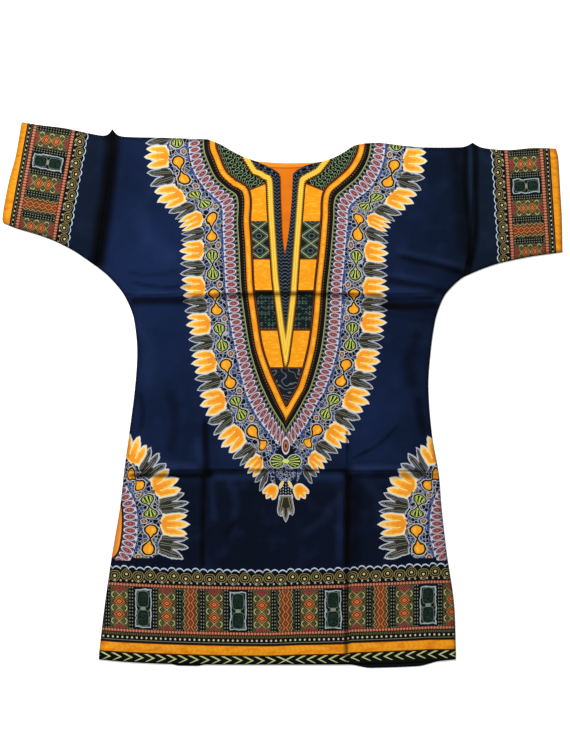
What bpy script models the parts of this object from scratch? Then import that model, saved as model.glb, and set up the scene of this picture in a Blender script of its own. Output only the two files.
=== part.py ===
"""Dashiki shirt of printed cotton, laid flat and face up.

Four pieces are sewn together: a front with a neck slit, a back, and two sleeves that are each
folded along the top and joined underneath. The neck is towards +Y and the hem towards -Y.
The back and the lower walls of the sleeves lie flat at z = 0, with the front and the upper walls
over them. Left and right are the wearer's, so the right sleeve is towards -X.

Tables and lengths are in millimetres; to_metres() turns them into the metres of the scene.
"""

from collections import namedtuple
from math import sin, tau

import bmesh
import bpy
from mathutils import Vector
from mathutils.geometry import interpolate_bezier

# Driving sizes
CLOTH = 1.3
SEAM_GAP = 0.3
REST = 2 * CLOTH + SEAM_GAP
ARMHOLE_GAP = 0.36
EDGE_ROLL = 34
LOFT = 0.8

# How many faces each stretch has
UPPER_ROWS_AT_SLIT = 5
UPPER_ROWS_AT_NECK = 7
UPPER_ROWS = UPPER_ROWS_AT_SLIT + UPPER_ROWS_AT_NECK
FRONT_GORES = (8, 7, 6, 9)
BACK_GORES = (5, 5, 4, 6)
BACK_NECK_FACES = 5
SLEEVE_STATIONS = 10

# The two lengthwise packing folds and the middle of the garment
RIGHT_FOLD_X = -124.6
MIDDLE_X = 4
LEFT_FOLD_X = 105.6

# Each row crosses the body from its right side to its left; rise is how far the middle of the
# row lies above the straight line between its ends, and faces is how many rows lead to the next.
Section = namedtuple("Section", "name right_x right_y left_x left_y rise faces")
BODY = (
    Section("hem", -303.6, -436.6, 286.3, -436.6, -9.0, 1),
    Section("hem band", -302.5, -422.0, 286.3, -422.0, -8.5, 3),
    Section("low print", -292.9, -341.6, 283.0, -341.6, -6.0, 3),
    Section("flare", -281.3, -262.4, 271.4, -262.4, -3.0, 3),
    Section("hip", -268.1, -183.2, 262.4, -183.2, -1.0, 2),
    Section("cross fold", -261.8, -127.0, 258.0, -130.0, 0.0, 3),
    Section("below waist", -253.3, -64.4, 246.7, -64.4, 0.0, 3),
    Section("waist", -243.4, 14.9, 240.9, 14.9, 0.0, 2),
    Section("above waist", -240.1, 74.3, 245.0, 74.3, 0.0, 2),
    Section("chest", -244.8, 122.0, 252.0, 122.0, 0.0, 1),
    Section("below fold", -251.0, 143.0, 258.2, 143.0, 1.0, 1),
    Section("chest fold", -260.3, 162.5, 267.3, 163.4, 3.0, 1),
    Section("curve", -269.8, 176.6, 278.0, 176.6, 8.0, 1),
    Section("upper curve", -289.0, 197.6, 293.0, 190.5, 18.0, 1),
    Section("underarm", -307.7, 212.9, 302.0, 196.4, 24.8, 0),
)
ROW_POWER = 4

# Edges of the upper body, as points on smooth curves
ARMHOLE_RIGHT = ((-307.7, 212.9), (-304, 248), (-295, 300), (-288, 348), (-282, 404), (-281, 439))
ARMHOLE_LEFT = ((302, 196.4), (311, 256), (315, 322), (316, 371), (314, 416.6))
SHOULDER_RIGHT = ((-281, 439), (-272, 429.5), (-258, 426.5), (-194, 425), (-123, 422.4))
SHOULDER_LEFT = (
    (136, 415.8), (162, 416.5), (194, 412.5), (233, 409.2), (292, 409.2), (303, 411), (314, 416.6)
)
NECK_RIGHT = (
    (-4.5, 364), (-9, 369), (-24, 377), (-44, 386), (-64, 393), (-84, 403), (-103, 414), (-123, 422.4)
)
NECK_LEFT = (
    (17, 364), (21, 369), (34, 377), (49, 382), (65, 385.5),
    (85, 392), (105, 403), (118, 411.5), (136, 415.8),
)
SLIT_TIP = (3.3, 229.4)
SLIT_RIGHT = (SLIT_TIP, (-1, 262), (-3.4, 320), (-4.5, 364))
SLIT_LEFT = (SLIT_TIP, (10, 268), (15, 320), (17, 364))
BACK_NECK_RIGHT = ((5, 383), (-24, 384.5), (-46, 387), (-64, 393), (-84, 403), (-103, 414), (-123, 422.4))
BACK_NECK_LEFT = ((5, 383), (35, 383.5), (65, 385.5), (85, 392), (105, 403), (118, 411.5), (136, 415.8))

# The back hem shows below the front hem in two places
Bump = namedtuple("Bump", "from_x to_x depth")
BACK_HEM_BUMPS = (Bump(108, 262, 6.0), Bump(-186, -126, 2.4))

# Sleeve edges: top fold, cuff and underarm seam
SLEEVE_RIGHT_TOP = (
    (-281, 439), (-288, 430.5), (-297, 428.2), (-321, 432.3),
    (-360.5, 440.6), (-400, 445.5), (-431, 450.5),
)
SLEEVE_RIGHT_UNDER = (
    (-307.7, 212.9), (-341, 236), (-359, 246), (-380, 256), (-408, 266), (-440, 275.6), (-461, 284)
)
SLEEVE_RIGHT_CUFF = ((-461, 284), (-462.8, 289), (-460, 312), (-451.5, 355), (-441, 394), (-431, 450.5))
SLEEVE_LEFT_TOP = ((314, 416.6), (323, 411), (333, 407.6), (372, 404.3), (412, 407.6), (451.5, 407))
SLEEVE_LEFT_UNDER = ((302, 196.4), (324, 206), (349, 215), (372, 221), (412, 229), (462.2, 236))
SLEEVE_LEFT_CUFF = ((462.2, 236), (461, 295), (458.5, 338), (455, 394), (451.5, 407))

# Folds of the upper cloth: a sharp crest that falls away over reach on both sides
Fold = namedtuple("Fold", "name height reach path")
FOLDS = (
    Fold("right packing fold", 1.6, 26, ((RIGHT_FOLD_X, -430), (RIGHT_FOLD_X, 160))),
    Fold("left packing fold", 2.2, 26, ((LEFT_FOLD_X, -434), (LEFT_FOLD_X, 160))),
    Fold("cross fold", 1.5, 28, ((-250, -127), (250, -130))),
    Fold("chest fold", 1.7, 24, ((-250, 162.5), (5, 166), (255, 163.4))),
    Fold("right armhole ridge", 2.8, 24, ARMHOLE_RIGHT),
    Fold("left armhole ridge", 2.8, 24, ARMHOLE_LEFT),
    Fold("left chest drag", 1.4, 15, ((184, 229), (240, 216), (300, 204))),
    Fold("left side drag", 1.2, 14, ((184, 188), (222, 180), (262, 172))),
)
FOLD_END = 30
HIGHEST = 3.5

# Slow waves of the upper cloth: wavelengths along X and Y, phase and height
Wave = namedtuple("Wave", "across along phase height")
WAVES = (
    Wave(310, 540, 0.15, 0.4),
    Wave(-190, 260, 0.60, 0.3),
    Wave(900, 150, 0.35, 0.25),
)

NAVY = (0.010, 0.017, 0.052, 1)
ROUGHNESS = 0.85


def clear_scene():
    for item in list(bpy.data.objects):
        bpy.data.objects.remove(item)


def to_metres(value):
    return value / 1000


def smooth_steps(points, steps):
    """Points on a smooth curve through the given ones, with steps[i] stretches after point i."""
    knots = [Vector((x, y, 0)) for x, y in points]
    last = len(knots) - 1
    line = [knots[0]]
    for i, count in enumerate(steps):
        start, end = knots[i], knots[i + 1]
        handle = (end - start).length / 3
        leaving = (end - knots[max(i - 1, 0)]).normalized() * handle
        arriving = (knots[min(i + 2, last)] - start).normalized() * handle
        line += interpolate_bezier(start, start + leaving, end - arriving, end, count + 1)[1:]
    return [(p.x, p.y) for p in line]


def smooth_line(points, count):
    """count + 1 evenly spaced points on a smooth curve through the given ones."""
    fine = smooth_steps(points, [16] * (len(points) - 1))
    lengths = [0]
    for (ax, ay), (bx, by) in zip(fine, fine[1:]):
        lengths.append(lengths[-1] + ((bx - ax) ** 2 + (by - ay) ** 2) ** 0.5)
    line = [fine[0]]
    here = 0
    for k in range(1, count):
        target = lengths[-1] * k / count
        while lengths[here + 1] < target:
            here += 1
        share = (target - lengths[here]) / (lengths[here + 1] - lengths[here])
        (ax, ay), (bx, by) = fine[here], fine[here + 1]
        line.append((ax + (bx - ax) * share, ay + (by - ay) * share))
    return line + [fine[-1]]


def smooth_between(value):
    value = min(max(value, 0), 1)
    return value * value * (3 - 2 * value)


def nearest(path, x, y):
    """Distance from (x, y) to a line of points, and the length left to the nearer end of it."""
    best, where, walked = 1e9, 0, 0
    for (ax, ay), (bx, by) in zip(path, path[1:]):
        dx, dy = bx - ax, by - ay
        length = (dx * dx + dy * dy) ** 0.5
        share = min(max(((x - ax) * dx + (y - ay) * dy) / length**2, 0), 1)
        away = ((x - ax - dx * share) ** 2 + (y - ay - dy * share) ** 2) ** 0.5
        if away < best:
            best, where = away, walked + length * share
        walked += length
    return best, min(where, walked - where)


def body_rows(sections, step):
    """The rows as (right end, left end, rise), with every section's faces divided by step."""
    counts = [max(1, round(s.faces / step)) for s in sections[:-1]]
    right = smooth_steps([(s.right_x, s.right_y) for s in sections], counts)
    left = smooth_steps([(s.left_x, s.left_y) for s in sections], counts)
    rises = smooth_steps([(i, s.rise) for i, s in enumerate(sections)], counts)
    return [(a, b, rise) for a, b, (_, rise) in zip(right, left, rises)]


def row_points(right, left, rise, gores):
    """Points along one row: straight down the packing folds and the middle, even between them."""
    guides = (right[0], RIGHT_FOLD_X, MIDDLE_X, LEFT_FOLD_X, left[0])
    across = [right[0]]
    for start, end, count in zip(guides, guides[1:], gores):
        across += [start + (end - start) * k / count for k in range(1, count + 1)]
    row = []
    for x in across:
        share = (x - right[0]) / (left[0] - right[0])
        level = right[1] + (left[1] - right[1]) * share
        row.append((x, level + rise * (1 - abs(2 * share - 1) ** ROW_POWER)))
    return row


def patch(bottom, top, start, end):
    """Grid of points that fills four edges which meet at their corners (a Coons patch)."""
    across, up = len(bottom) - 1, len(start) - 1
    corners = (bottom[0], bottom[-1], top[0], top[-1])
    grid = []
    for j in range(up + 1):
        v = j / up
        row = []
        for i in range(across + 1):
            u = i / across
            weights = ((1 - u) * (1 - v), u * (1 - v), (1 - u) * v, u * v)
            row.append(
                tuple(
                    (1 - v) * bottom[i][k] + v * top[i][k] + (1 - u) * start[j][k] + u * end[j][k]
                    - sum(w * corner[k] for w, corner in zip(weights, corners))
                    for k in (0, 1)
                )
            )
        grid.append(row)
    return grid


def opening_edge(slit, neck):
    return smooth_line(slit, UPPER_ROWS_AT_SLIT) + smooth_line(neck, UPPER_ROWS_AT_NECK)[1:]


def front_grids():
    lower = [row_points(*row, FRONT_GORES) for row in body_rows(BODY, 1)]
    tip = sum(FRONT_GORES[:2])
    lower[-1][tip] = SLIT_TIP
    chest = lower[-1]
    right_opening = opening_edge(SLIT_RIGHT, NECK_RIGHT)
    left_opening = opening_edge(SLIT_LEFT, NECK_LEFT)
    right = patch(
        chest[: tip + 1],
        smooth_line(SHOULDER_RIGHT, tip),
        smooth_line(ARMHOLE_RIGHT, UPPER_ROWS),
        right_opening,
    )
    left = patch(
        chest[tip:],
        smooth_line(SHOULDER_LEFT, len(chest) - 1 - tip),
        left_opening,
        smooth_line(ARMHOLE_LEFT, UPPER_ROWS),
    )
    return lower, right, left


def back_grids():
    lower = [row_points(*row, BACK_GORES) for row in body_rows(BODY, 2)]
    lower[0] = [(x, y - back_hem_drop(x)) for x, y in lower[0]]
    middle = sum(BACK_GORES[:2])
    chest = lower[-1]
    spine = smooth_line((chest[middle], BACK_NECK_RIGHT[0]), UPPER_ROWS)
    right_shoulder = middle - BACK_NECK_FACES
    left_shoulder = len(chest) - 1 - middle - BACK_NECK_FACES
    right_neck = smooth_line(BACK_NECK_RIGHT, BACK_NECK_FACES)[::-1]
    left_neck = smooth_line(BACK_NECK_LEFT, BACK_NECK_FACES)
    right = patch(
        chest[: middle + 1],
        smooth_line(SHOULDER_RIGHT, right_shoulder) + right_neck[1:],
        smooth_line(ARMHOLE_RIGHT, UPPER_ROWS),
        spine,
    )
    left = patch(
        chest[middle:],
        left_neck + smooth_line(SHOULDER_LEFT, left_shoulder)[1:],
        spine,
        smooth_line(ARMHOLE_LEFT, UPPER_ROWS),
    )
    return lower, right, left


def back_hem_drop(x):
    drop = 0
    for bump in BACK_HEM_BUMPS:
        inside = (x - bump.from_x) / (bump.to_x - bump.from_x)
        drop += bump.depth * smooth_between(4 * inside) * smooth_between(4 - 4 * inside)
    return drop


def joined_edges():
    """Edges where the upper cloth comes down to what it is sewn to or folds round to."""
    rows = body_rows(BODY, 1)
    return (
        [right for right, left, rise in rows],
        [left for right, left, rise in rows],
        row_points(*rows[0], FRONT_GORES),
        SHOULDER_RIGHT,
        SHOULDER_LEFT,
        SLEEVE_RIGHT_TOP,
        SLEEVE_RIGHT_UNDER,
        SLEEVE_RIGHT_CUFF,
        SLEEVE_LEFT_TOP,
        SLEEVE_LEFT_UNDER,
        SLEEVE_LEFT_CUFF,
    )


JOINED = joined_edges()


def upper_face(x, y):
    """Height of the cloth's upper face where it lies over a lower layer."""
    inland = smooth_between(min(nearest(edge, x, y)[0] for edge in JOINED) / EDGE_ROLL)
    rise = LOFT
    for wave in WAVES:
        rise += wave.height * (0.5 + 0.5 * sin(tau * (x / wave.across + y / wave.along + wave.phase)))
    for fold in FOLDS:
        away, from_end = nearest(fold.path, x, y)
        if away < fold.reach:
            rise += fold.height * (1 - away / fold.reach) ** 2 * smooth_between(from_end / FOLD_END)
    return REST + min(rise, HIGHEST) * inland


def lying_face(x, y):
    """Height of the upper face of cloth that lies straight on the floor."""
    return CLOTH


def add_sheet(mesh, grid, height):
    """A grid primitive whose points are moved to the worked-out places."""
    rows, columns = len(grid), len(grid[0])
    made = bmesh.ops.create_grid(mesh, x_segments=columns - 1, y_segments=rows - 1, size=1)
    places = [point for row in grid for point in row]
    for vert, (x, y) in zip(made["verts"], places):
        vert.co = Vector((x, y, height(x, y)))


def panel(grids, height):
    """One cut panel: its stretches joined, with the wall's thickness below them."""
    mesh = bmesh.new()
    for grid in grids:
        add_sheet(mesh, grid, height)
    bmesh.ops.remove_doubles(mesh, verts=mesh.verts, dist=0.001)
    below = bmesh.ops.extrude_face_region(mesh, geom=mesh.faces[:])
    lowered = [item for item in below["geom"] if isinstance(item, bmesh.types.BMVert)]
    bmesh.ops.translate(mesh, verts=lowered, vec=(0, 0, -CLOTH))
    return mesh


def ring(points, inset):
    """Section of a flattened tube: along its lower wall and back along its upper one."""
    (ax, ay), (bx, by) = points[0], points[-1]
    width = ((bx - ax) ** 2 + (by - ay) ** 2) ** 0.5
    step_x, step_y = (bx - ax) / width * inset, (by - ay) / width * inset
    line = [(ax + step_x, ay + step_y)] + list(points[1:-1]) + [(bx - step_x, by - step_y)]
    lower = [Vector((x, y, inset)) for x, y in line]
    upper = [Vector((x, y, upper_face(px, py) - inset)) for (x, y), (px, py) in zip(line, points)]
    return lower + upper[::-1]


def sleeve(top, cuff, under, armhole, outward):
    """A flattened tube: an outer and an inner skin, joined at the armhole and at the cuff."""
    shift = outward * ARMHOLE_GAP
    inner_edge = [(x + shift, y) for x, y in smooth_line(armhole, UPPER_ROWS)]
    underarm = smooth_line(under, SLEEVE_STATIONS)
    fold = smooth_line(top, SLEEVE_STATIONS)
    underarm[0], fold[0] = inner_edge[0], inner_edge[-1]
    sections = patch(inner_edge, smooth_line(cuff, UPPER_ROWS), underarm, fold)
    mesh = bmesh.new()
    skins = []
    for inset in (0, CLOTH):
        skins.append([[mesh.verts.new(p) for p in ring(section, inset)] for section in sections])
    outer, inner = skins
    around = list(outer) + inner[::-1]
    for loop, following in zip(around, around[1:] + around[:1]):
        count = len(loop)
        for k in range(count):
            after = (k + 1) % count
            mesh.faces.new((loop[k], loop[after], following[after], following[k]))
    return mesh


def place(name, mesh):
    """Turns a worked-out shape in millimetres into a scene object in metres."""
    bmesh.ops.scale(mesh, vec=[to_metres(1)] * 3, verts=mesh.verts)
    bmesh.ops.recalc_face_normals(mesh, faces=mesh.faces)
    bmesh.ops.triangulate(mesh, faces=mesh.faces)
    data = bpy.data.meshes.new(name)
    mesh.to_mesh(data)
    mesh.free()
    data.shade_smooth()
    data.set_sharp_from_angle(angle=0.6)
    piece = bpy.data.objects.new(name, data)
    bpy.context.scene.collection.objects.link(piece)
    piece.data.materials.append(printed_cotton(name))
    return piece


def printed_cotton(name):
    material = bpy.data.materials.new(name + "_cotton")
    material.use_nodes = True
    shader = material.node_tree.nodes["Principled BSDF"]
    shader.inputs["Base Color"].default_value = NAVY
    shader.inputs["Roughness"].default_value = ROUGHNESS
    shader.inputs["Metallic"].default_value = 0
    return material


def main():
    clear_scene()
    place("back", panel(back_grids(), lying_face))
    place("front", panel(front_grids(), upper_face))
    place(
        "sleeve_right",
        sleeve(SLEEVE_RIGHT_TOP, SLEEVE_RIGHT_CUFF, SLEEVE_RIGHT_UNDER, ARMHOLE_RIGHT, -1),
    )
    place(
        "sleeve_left",
        sleeve(SLEEVE_LEFT_TOP, SLEEVE_LEFT_CUFF, SLEEVE_LEFT_UNDER, ARMHOLE_LEFT, 1),
    )


main()
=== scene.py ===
# %% [markdown]
# # A dashiki shirt of printed cotton, laid flat
# The shirt is sewn from four cut pieces: a front with a neck slit, a back, and two wide sleeves.
# This notebook dresses the packed solid model with thin cloth shells that have creases and a print.
# Nothing is drawn on images: every motif is worked out from coordinates in the material's nodes.

import bmesh
import bpy
import numpy as np
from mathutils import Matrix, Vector
from mathutils.geometry import interpolate_bezier
from mathutils.kdtree import KDTree


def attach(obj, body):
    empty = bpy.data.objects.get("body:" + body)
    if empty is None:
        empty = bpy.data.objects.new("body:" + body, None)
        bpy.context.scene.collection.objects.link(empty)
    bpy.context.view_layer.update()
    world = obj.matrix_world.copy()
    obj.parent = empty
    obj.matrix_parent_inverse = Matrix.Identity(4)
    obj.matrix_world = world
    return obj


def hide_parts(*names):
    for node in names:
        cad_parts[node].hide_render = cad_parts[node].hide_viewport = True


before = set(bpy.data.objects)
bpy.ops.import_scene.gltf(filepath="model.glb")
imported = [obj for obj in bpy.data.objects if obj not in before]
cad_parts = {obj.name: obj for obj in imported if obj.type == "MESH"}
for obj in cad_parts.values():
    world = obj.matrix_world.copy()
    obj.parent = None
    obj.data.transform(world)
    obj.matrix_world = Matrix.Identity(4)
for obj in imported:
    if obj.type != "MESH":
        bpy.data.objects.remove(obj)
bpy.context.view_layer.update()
print("nodes:", sorted(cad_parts))

# %% [markdown]
# ## Camera, floor and light
# The photograph looks straight down on the shirt, so the camera hangs above it with its top
# towards the neck. A long lens from about three metres keeps the far corners undistorted.
# All places that were read off the photograph are in its pixels, and to_cloth turns them into
# millimetres on the cloth.

# %% Camera
PIXEL = 1.65
LENS = 85
SENSOR = 36
VIEW_CENTRE = (285, 378)
VIEW_HEIGHT = 756
CLOTH_MIDDLE = 0.004


def to_cloth(x, y):
    """Millimetres on the cloth of a pixel of the photograph."""
    return (x - 282.5) * PIXEL, (395 - y) * PIXEL


camera_data = bpy.data.cameras.new("camera")
camera_data.lens = LENS
camera_data.sensor_width = SENSOR
camera = bpy.data.objects.new("camera", camera_data)
bpy.context.scene.collection.objects.link(camera)
aim_x, aim_y = to_cloth(*VIEW_CENTRE)
distance = VIEW_HEIGHT * PIXEL * LENS / SENSOR
camera.location = (aim_x / 1000, aim_y / 1000, distance / 1000 + CLOTH_MIDDLE)
bpy.context.scene.camera = camera
print("camera height in metres:", round(camera.location.z, 3))

# %% [markdown]
# The floor is one large pale square. A big soft lamp from the upper left and a bright, even sky
# stand for a photographer's light tent: the cloth gets gentle shading across its creases, and
# hardly any shadow falls on the floor.

# %% Floor and light
FLOOR_SIZE = 14
FLOOR_DROP = 0.0004
FLOOR_GLOW = 0.4
SKY_STRENGTH = 0.31
KEY_PLACE = (-1.5, 3.4, 2.7)
KEY_SIZE = 1.0
KEY_POWER = 262


def object_of(mesh, name):
    """A scene object at the origin that holds a finished mesh."""
    data = bpy.data.meshes.new(name)
    mesh.to_mesh(data)
    mesh.free()
    made = bpy.data.objects.new(name, data)
    bpy.context.scene.collection.objects.link(made)
    return made


def soft_lamp(name, place, aim, size, power):
    data = bpy.data.lights.new(name, "AREA")
    data.size = size
    data.energy = power
    lamp = bpy.data.objects.new(name, data)
    bpy.context.scene.collection.objects.link(lamp)
    lamp.location = place
    lamp.rotation_euler = (Vector(aim) - Vector(place)).to_track_quat("-Z", "Y").to_euler()


floor_mesh = bmesh.new()
bmesh.ops.create_grid(floor_mesh, x_segments=1, y_segments=1, size=FLOOR_SIZE)
bmesh.ops.translate(floor_mesh, verts=floor_mesh.verts, vec=(0, 0, -FLOOR_DROP))
floor = object_of(floor_mesh, "floor")
paper = bpy.data.materials.new("pale_floor")
paper.use_nodes = True
paper_inputs = paper.node_tree.nodes["Principled BSDF"].inputs
paper_inputs["Base Color"].default_value = (0.93, 0.93, 0.93, 1)
paper_inputs["Roughness"].default_value = 0.9
paper_inputs["Emission Color"].default_value = (1, 1, 1, 1)
paper_inputs["Emission Strength"].default_value = FLOOR_GLOW
floor.data.materials.append(paper)

sky = bpy.data.worlds.new("light_tent")
sky.use_nodes = True
sky.node_tree.nodes["Background"].inputs["Color"].default_value = (1, 1, 1, 1)
sky.node_tree.nodes["Background"].inputs["Strength"].default_value = SKY_STRENGTH
bpy.context.scene.world = sky
bpy.context.scene.view_settings.view_transform = "Standard"
soft_lamp("key", KEY_PLACE, (0, 0, 0), KEY_SIZE, KEY_POWER)
print("floor and lamps placed")

# %% [markdown]
# ## The cut of the shirt
# A real shirt of this kind is cut from one wide printed panel and sewn with straight seams. Here
# every cut edge is a short table of points with a smooth curve through it, the same tables as in
# the solid model, so that the cloth and the solids have one outline.

# %% Edges of the body
BODY_SIDES = (
    # right side x, y, left side x, y, rise of the row's middle, faces up to the next row
    (-303.6, -436.6, 286.3, -436.6, -9.0, 1),
    (-302.5, -422.0, 286.3, -422.0, -8.5, 3),
    (-292.9, -341.6, 283.0, -341.6, -6.0, 3),
    (-281.3, -262.4, 271.4, -262.4, -3.0, 3),
    (-268.1, -183.2, 262.4, -183.2, -1.0, 2),
    (-261.8, -127.0, 258.0, -130.0, 0.0, 3),
    (-253.3, -64.4, 246.7, -64.4, 0.0, 3),
    (-243.4, 14.9, 240.9, 14.9, 0.0, 2),
    (-240.1, 74.3, 245.0, 74.3, 0.0, 2),
    (-244.8, 122.0, 252.0, 122.0, 0.0, 1),
    (-251.0, 143.0, 258.2, 143.0, 1.0, 1),
    (-260.3, 162.5, 267.3, 163.4, 3.0, 1),
    (-269.8, 176.6, 278.0, 176.6, 8.0, 1),
    (-289.0, 197.6, 293.0, 190.5, 18.0, 1),
    (-307.7, 212.9, 302.0, 196.4, 24.8, 0),
)
RIGHT_FOLD_X = -124.6
MIDDLE_X = 5.4
LEFT_FOLD_X = 105.6
ARMHOLE_RIGHT = ((-307.7, 212.9), (-304, 248), (-295, 300), (-288, 348), (-282, 404), (-281, 439))
ARMHOLE_LEFT = ((302, 196.4), (311, 256), (315, 322), (316, 371), (314, 416.6))
SHOULDER_RIGHT = ((-281, 439), (-272, 429.5), (-258, 426.5), (-194, 425), (-123, 422.4))
SHOULDER_LEFT = (
    (136, 415.8), (162, 416.5), (194, 412.5), (233, 409.2), (292, 409.2), (303, 411), (314, 416.6)
)
NECK_RIGHT = (
    (-4.5, 364), (-9, 369), (-24, 377), (-44, 386), (-64, 393), (-84, 403), (-103, 414), (-123, 422.4)
)
NECK_LEFT = (
    (17, 364), (21, 369), (34, 377), (49, 382), (65, 385.5),
    (85, 392), (105, 403), (118, 411.5), (136, 415.8),
)
SLIT_TIP = (3.3, 229.4)
SLIT_RIGHT = (SLIT_TIP, (-1, 262), (-3.4, 320), (-4.5, 364))
SLIT_LEFT = (SLIT_TIP, (10, 268), (15, 320), (17, 364))
BACK_NECK_RIGHT = ((5, 383), (-24, 384.5), (-46, 387), (-64, 393), (-84, 403), (-103, 414), (-123, 422.4))
BACK_NECK_LEFT = ((5, 383), (35, 383.5), (65, 385.5), (85, 392), (105, 403), (118, 411.5), (136, 415.8))
BACK_HEM_BUMPS = ((108, 262, 6.0), (-186, -126, 2.4))
print("rows in the body table:", len(BODY_SIDES))

# %% Edges of the sleeves
SLEEVE_RIGHT_TOP = (
    (-281, 439), (-288, 430.5), (-297, 428.2), (-321, 432.3),
    (-360.5, 440.6), (-400, 445.5), (-431, 450.5),
)
SLEEVE_RIGHT_UNDER = (
    (-307.7, 212.9), (-341, 236), (-359, 246), (-380, 256), (-408, 266), (-440, 275.6), (-461, 284)
)
SLEEVE_RIGHT_CUFF = ((-461, 284), (-462.8, 289), (-460, 312), (-451.5, 355), (-441, 394), (-431, 450.5))
SLEEVE_LEFT_TOP = ((314, 416.6), (323, 411), (333, 407.6), (372, 404.3), (412, 407.6), (451.5, 407))
SLEEVE_LEFT_UNDER = ((302, 196.4), (324, 206), (349, 215), (372, 221), (412, 229), (462.2, 236))
SLEEVE_LEFT_CUFF = ((462.2, 236), (461, 295), (458.5, 338), (455, 394), (451.5, 407))
print("points round a sleeve:", len(SLEEVE_RIGHT_TOP + SLEEVE_RIGHT_UNDER + SLEEVE_RIGHT_CUFF))

# %% [markdown]
# A sheet of cloth between four curved edges is a classic job for a Coons patch: every inner point
# blends the four edges. It keeps the grid's lines close to the threads of the cloth, which run
# straight up and across. The body below the arms needs no patch, since each row is a slightly
# bowed line from side to side.

# %% Smooth lines through tables of points
def smooth_steps(points, steps):
    """Points on a smooth curve through the given ones, with steps[i] stretches after point i."""
    knots = [Vector((x, y, 0)) for x, y in points]
    last = len(knots) - 1
    line = [knots[0]]
    for i, count in enumerate(steps):
        start, end = knots[i], knots[i + 1]
        handle = (end - start).length / 3
        leaving = (end - knots[max(i - 1, 0)]).normalized() * handle
        arriving = (knots[min(i + 2, last)] - start).normalized() * handle
        line += interpolate_bezier(start, start + leaving, end - arriving, end, count + 1)[1:]
    return np.array([(p.x, p.y) for p in line])


def smooth_line(points, count):
    """count + 1 evenly spaced points on a smooth curve through the given ones."""
    fine = smooth_steps(points, [24] * (len(points) - 1))
    walked = walked_along(fine)
    even = np.linspace(0, walked[-1], count + 1)
    return np.column_stack([np.interp(even, walked, fine[:, k]) for k in (0, 1)])


def walked_along(line):
    """Length walked to each point of a line."""
    steps = np.hypot(*np.diff(line, axis=0).T)
    return np.concatenate([[0], np.cumsum(steps)])


print("shoulder length in mm:", round(walked_along(smooth_line(SHOULDER_RIGHT, 40))[-1], 1))

# %% Grids of the body
FINE = 5
FRONT_GORES = (8 * FINE, 7 * FINE, 6 * FINE, 9 * FINE)
UPPER_AT_SLIT = 5 * FINE
UPPER_AT_NECK = 7 * FINE
UPPER = UPPER_AT_SLIT + UPPER_AT_NECK


def patch(bottom, top, start, end):
    """Grid of points that fills four edges which meet at their corners (a Coons patch)."""
    u = np.linspace(0, 1, len(bottom))[None, :, None]
    v = np.linspace(0, 1, len(start))[:, None, None]
    across = (1 - v) * bottom[None] + v * top[None]
    along = (1 - u) * start[:, None] + u * end[:, None]
    corners = (1 - u) * (1 - v) * bottom[0] + u * (1 - v) * bottom[-1]
    corners = corners + (1 - u) * v * top[0] + u * v * top[-1]
    return across + along - corners


def lower_body(gores):
    """Rows from the hem to under the arms, straight down the packing folds and the middle."""
    counts = [row[5] * FINE for row in BODY_SIDES[:-1]]
    right = smooth_steps([row[0:2] for row in BODY_SIDES], counts)
    left = smooth_steps([row[2:4] for row in BODY_SIDES], counts)
    rises = smooth_steps([(i, row[4]) for i, row in enumerate(BODY_SIDES)], counts)[:, 1]
    rows = []
    for (rx, ry), (lx, ly), rise in zip(right, left, rises):
        guides = (rx, RIGHT_FOLD_X, MIDDLE_X, LEFT_FOLD_X, lx)
        parts = [np.linspace(a, b, n, endpoint=False) for a, b, n in zip(guides, guides[1:], gores)]
        x = np.concatenate(parts + [[lx]])
        share = (x - rx) / (lx - rx)
        y = ry + (ly - ry) * share + rise * (1 - abs(2 * share - 1) ** 4)
        rows.append(np.column_stack([x, y]))
    return np.array(rows)


def opening_edge(slit, neck):
    return np.concatenate([smooth_line(slit, UPPER_AT_SLIT), smooth_line(neck, UPPER_AT_NECK)[1:]])


def front_grids():
    lower = lower_body(FRONT_GORES)
    tip = FRONT_GORES[0] + FRONT_GORES[1]
    lower[-1][tip] = SLIT_TIP
    chest = lower[-1]
    right = patch(
        chest[: tip + 1],
        smooth_line(SHOULDER_RIGHT, tip),
        smooth_line(ARMHOLE_RIGHT, UPPER),
        opening_edge(SLIT_RIGHT, NECK_RIGHT),
    )
    left = patch(
        chest[tip:],
        smooth_line(SHOULDER_LEFT, len(chest) - 1 - tip),
        opening_edge(SLIT_LEFT, NECK_LEFT),
        smooth_line(ARMHOLE_LEFT, UPPER),
    )
    return lower, right, left


def back_hem_drop(x):
    """The back hem shows below the front hem in two places."""
    drop = 0
    for from_x, to_x, depth in BACK_HEM_BUMPS:
        inside = np.clip((x - from_x) / (to_x - from_x), 0, 1)
        drop = drop + depth * smooth_between(4 * inside) * smooth_between(4 - 4 * inside)
    return drop


def smooth_between(value):
    value = np.clip(value, 0, 1)
    return value * value * (3 - 2 * value)


def back_grids():
    lower = lower_body(FRONT_GORES)
    lower[0][:, 1] -= back_hem_drop(lower[0][:, 0])
    middle = FRONT_GORES[0] + FRONT_GORES[1]
    chest = lower[-1]
    neck = 5 * FINE
    spine = smooth_line((chest[middle], BACK_NECK_RIGHT[0]), UPPER)
    shoulder_right = smooth_line(SHOULDER_RIGHT, middle - neck)
    shoulder_left = smooth_line(SHOULDER_LEFT, len(chest) - 1 - middle - neck)
    right = patch(
        chest[: middle + 1],
        np.concatenate([shoulder_right, smooth_line(BACK_NECK_RIGHT[::-1], neck)[1:]]),
        smooth_line(ARMHOLE_RIGHT, UPPER),
        spine,
    )
    left = patch(
        chest[middle:],
        np.concatenate([smooth_line(BACK_NECK_LEFT, neck), shoulder_left[1:]]),
        spine,
        smooth_line(ARMHOLE_LEFT, UPPER),
    )
    return lower, right, left


print("front points:", sum(grid.shape[0] * grid.shape[1] for grid in front_grids()))

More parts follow.
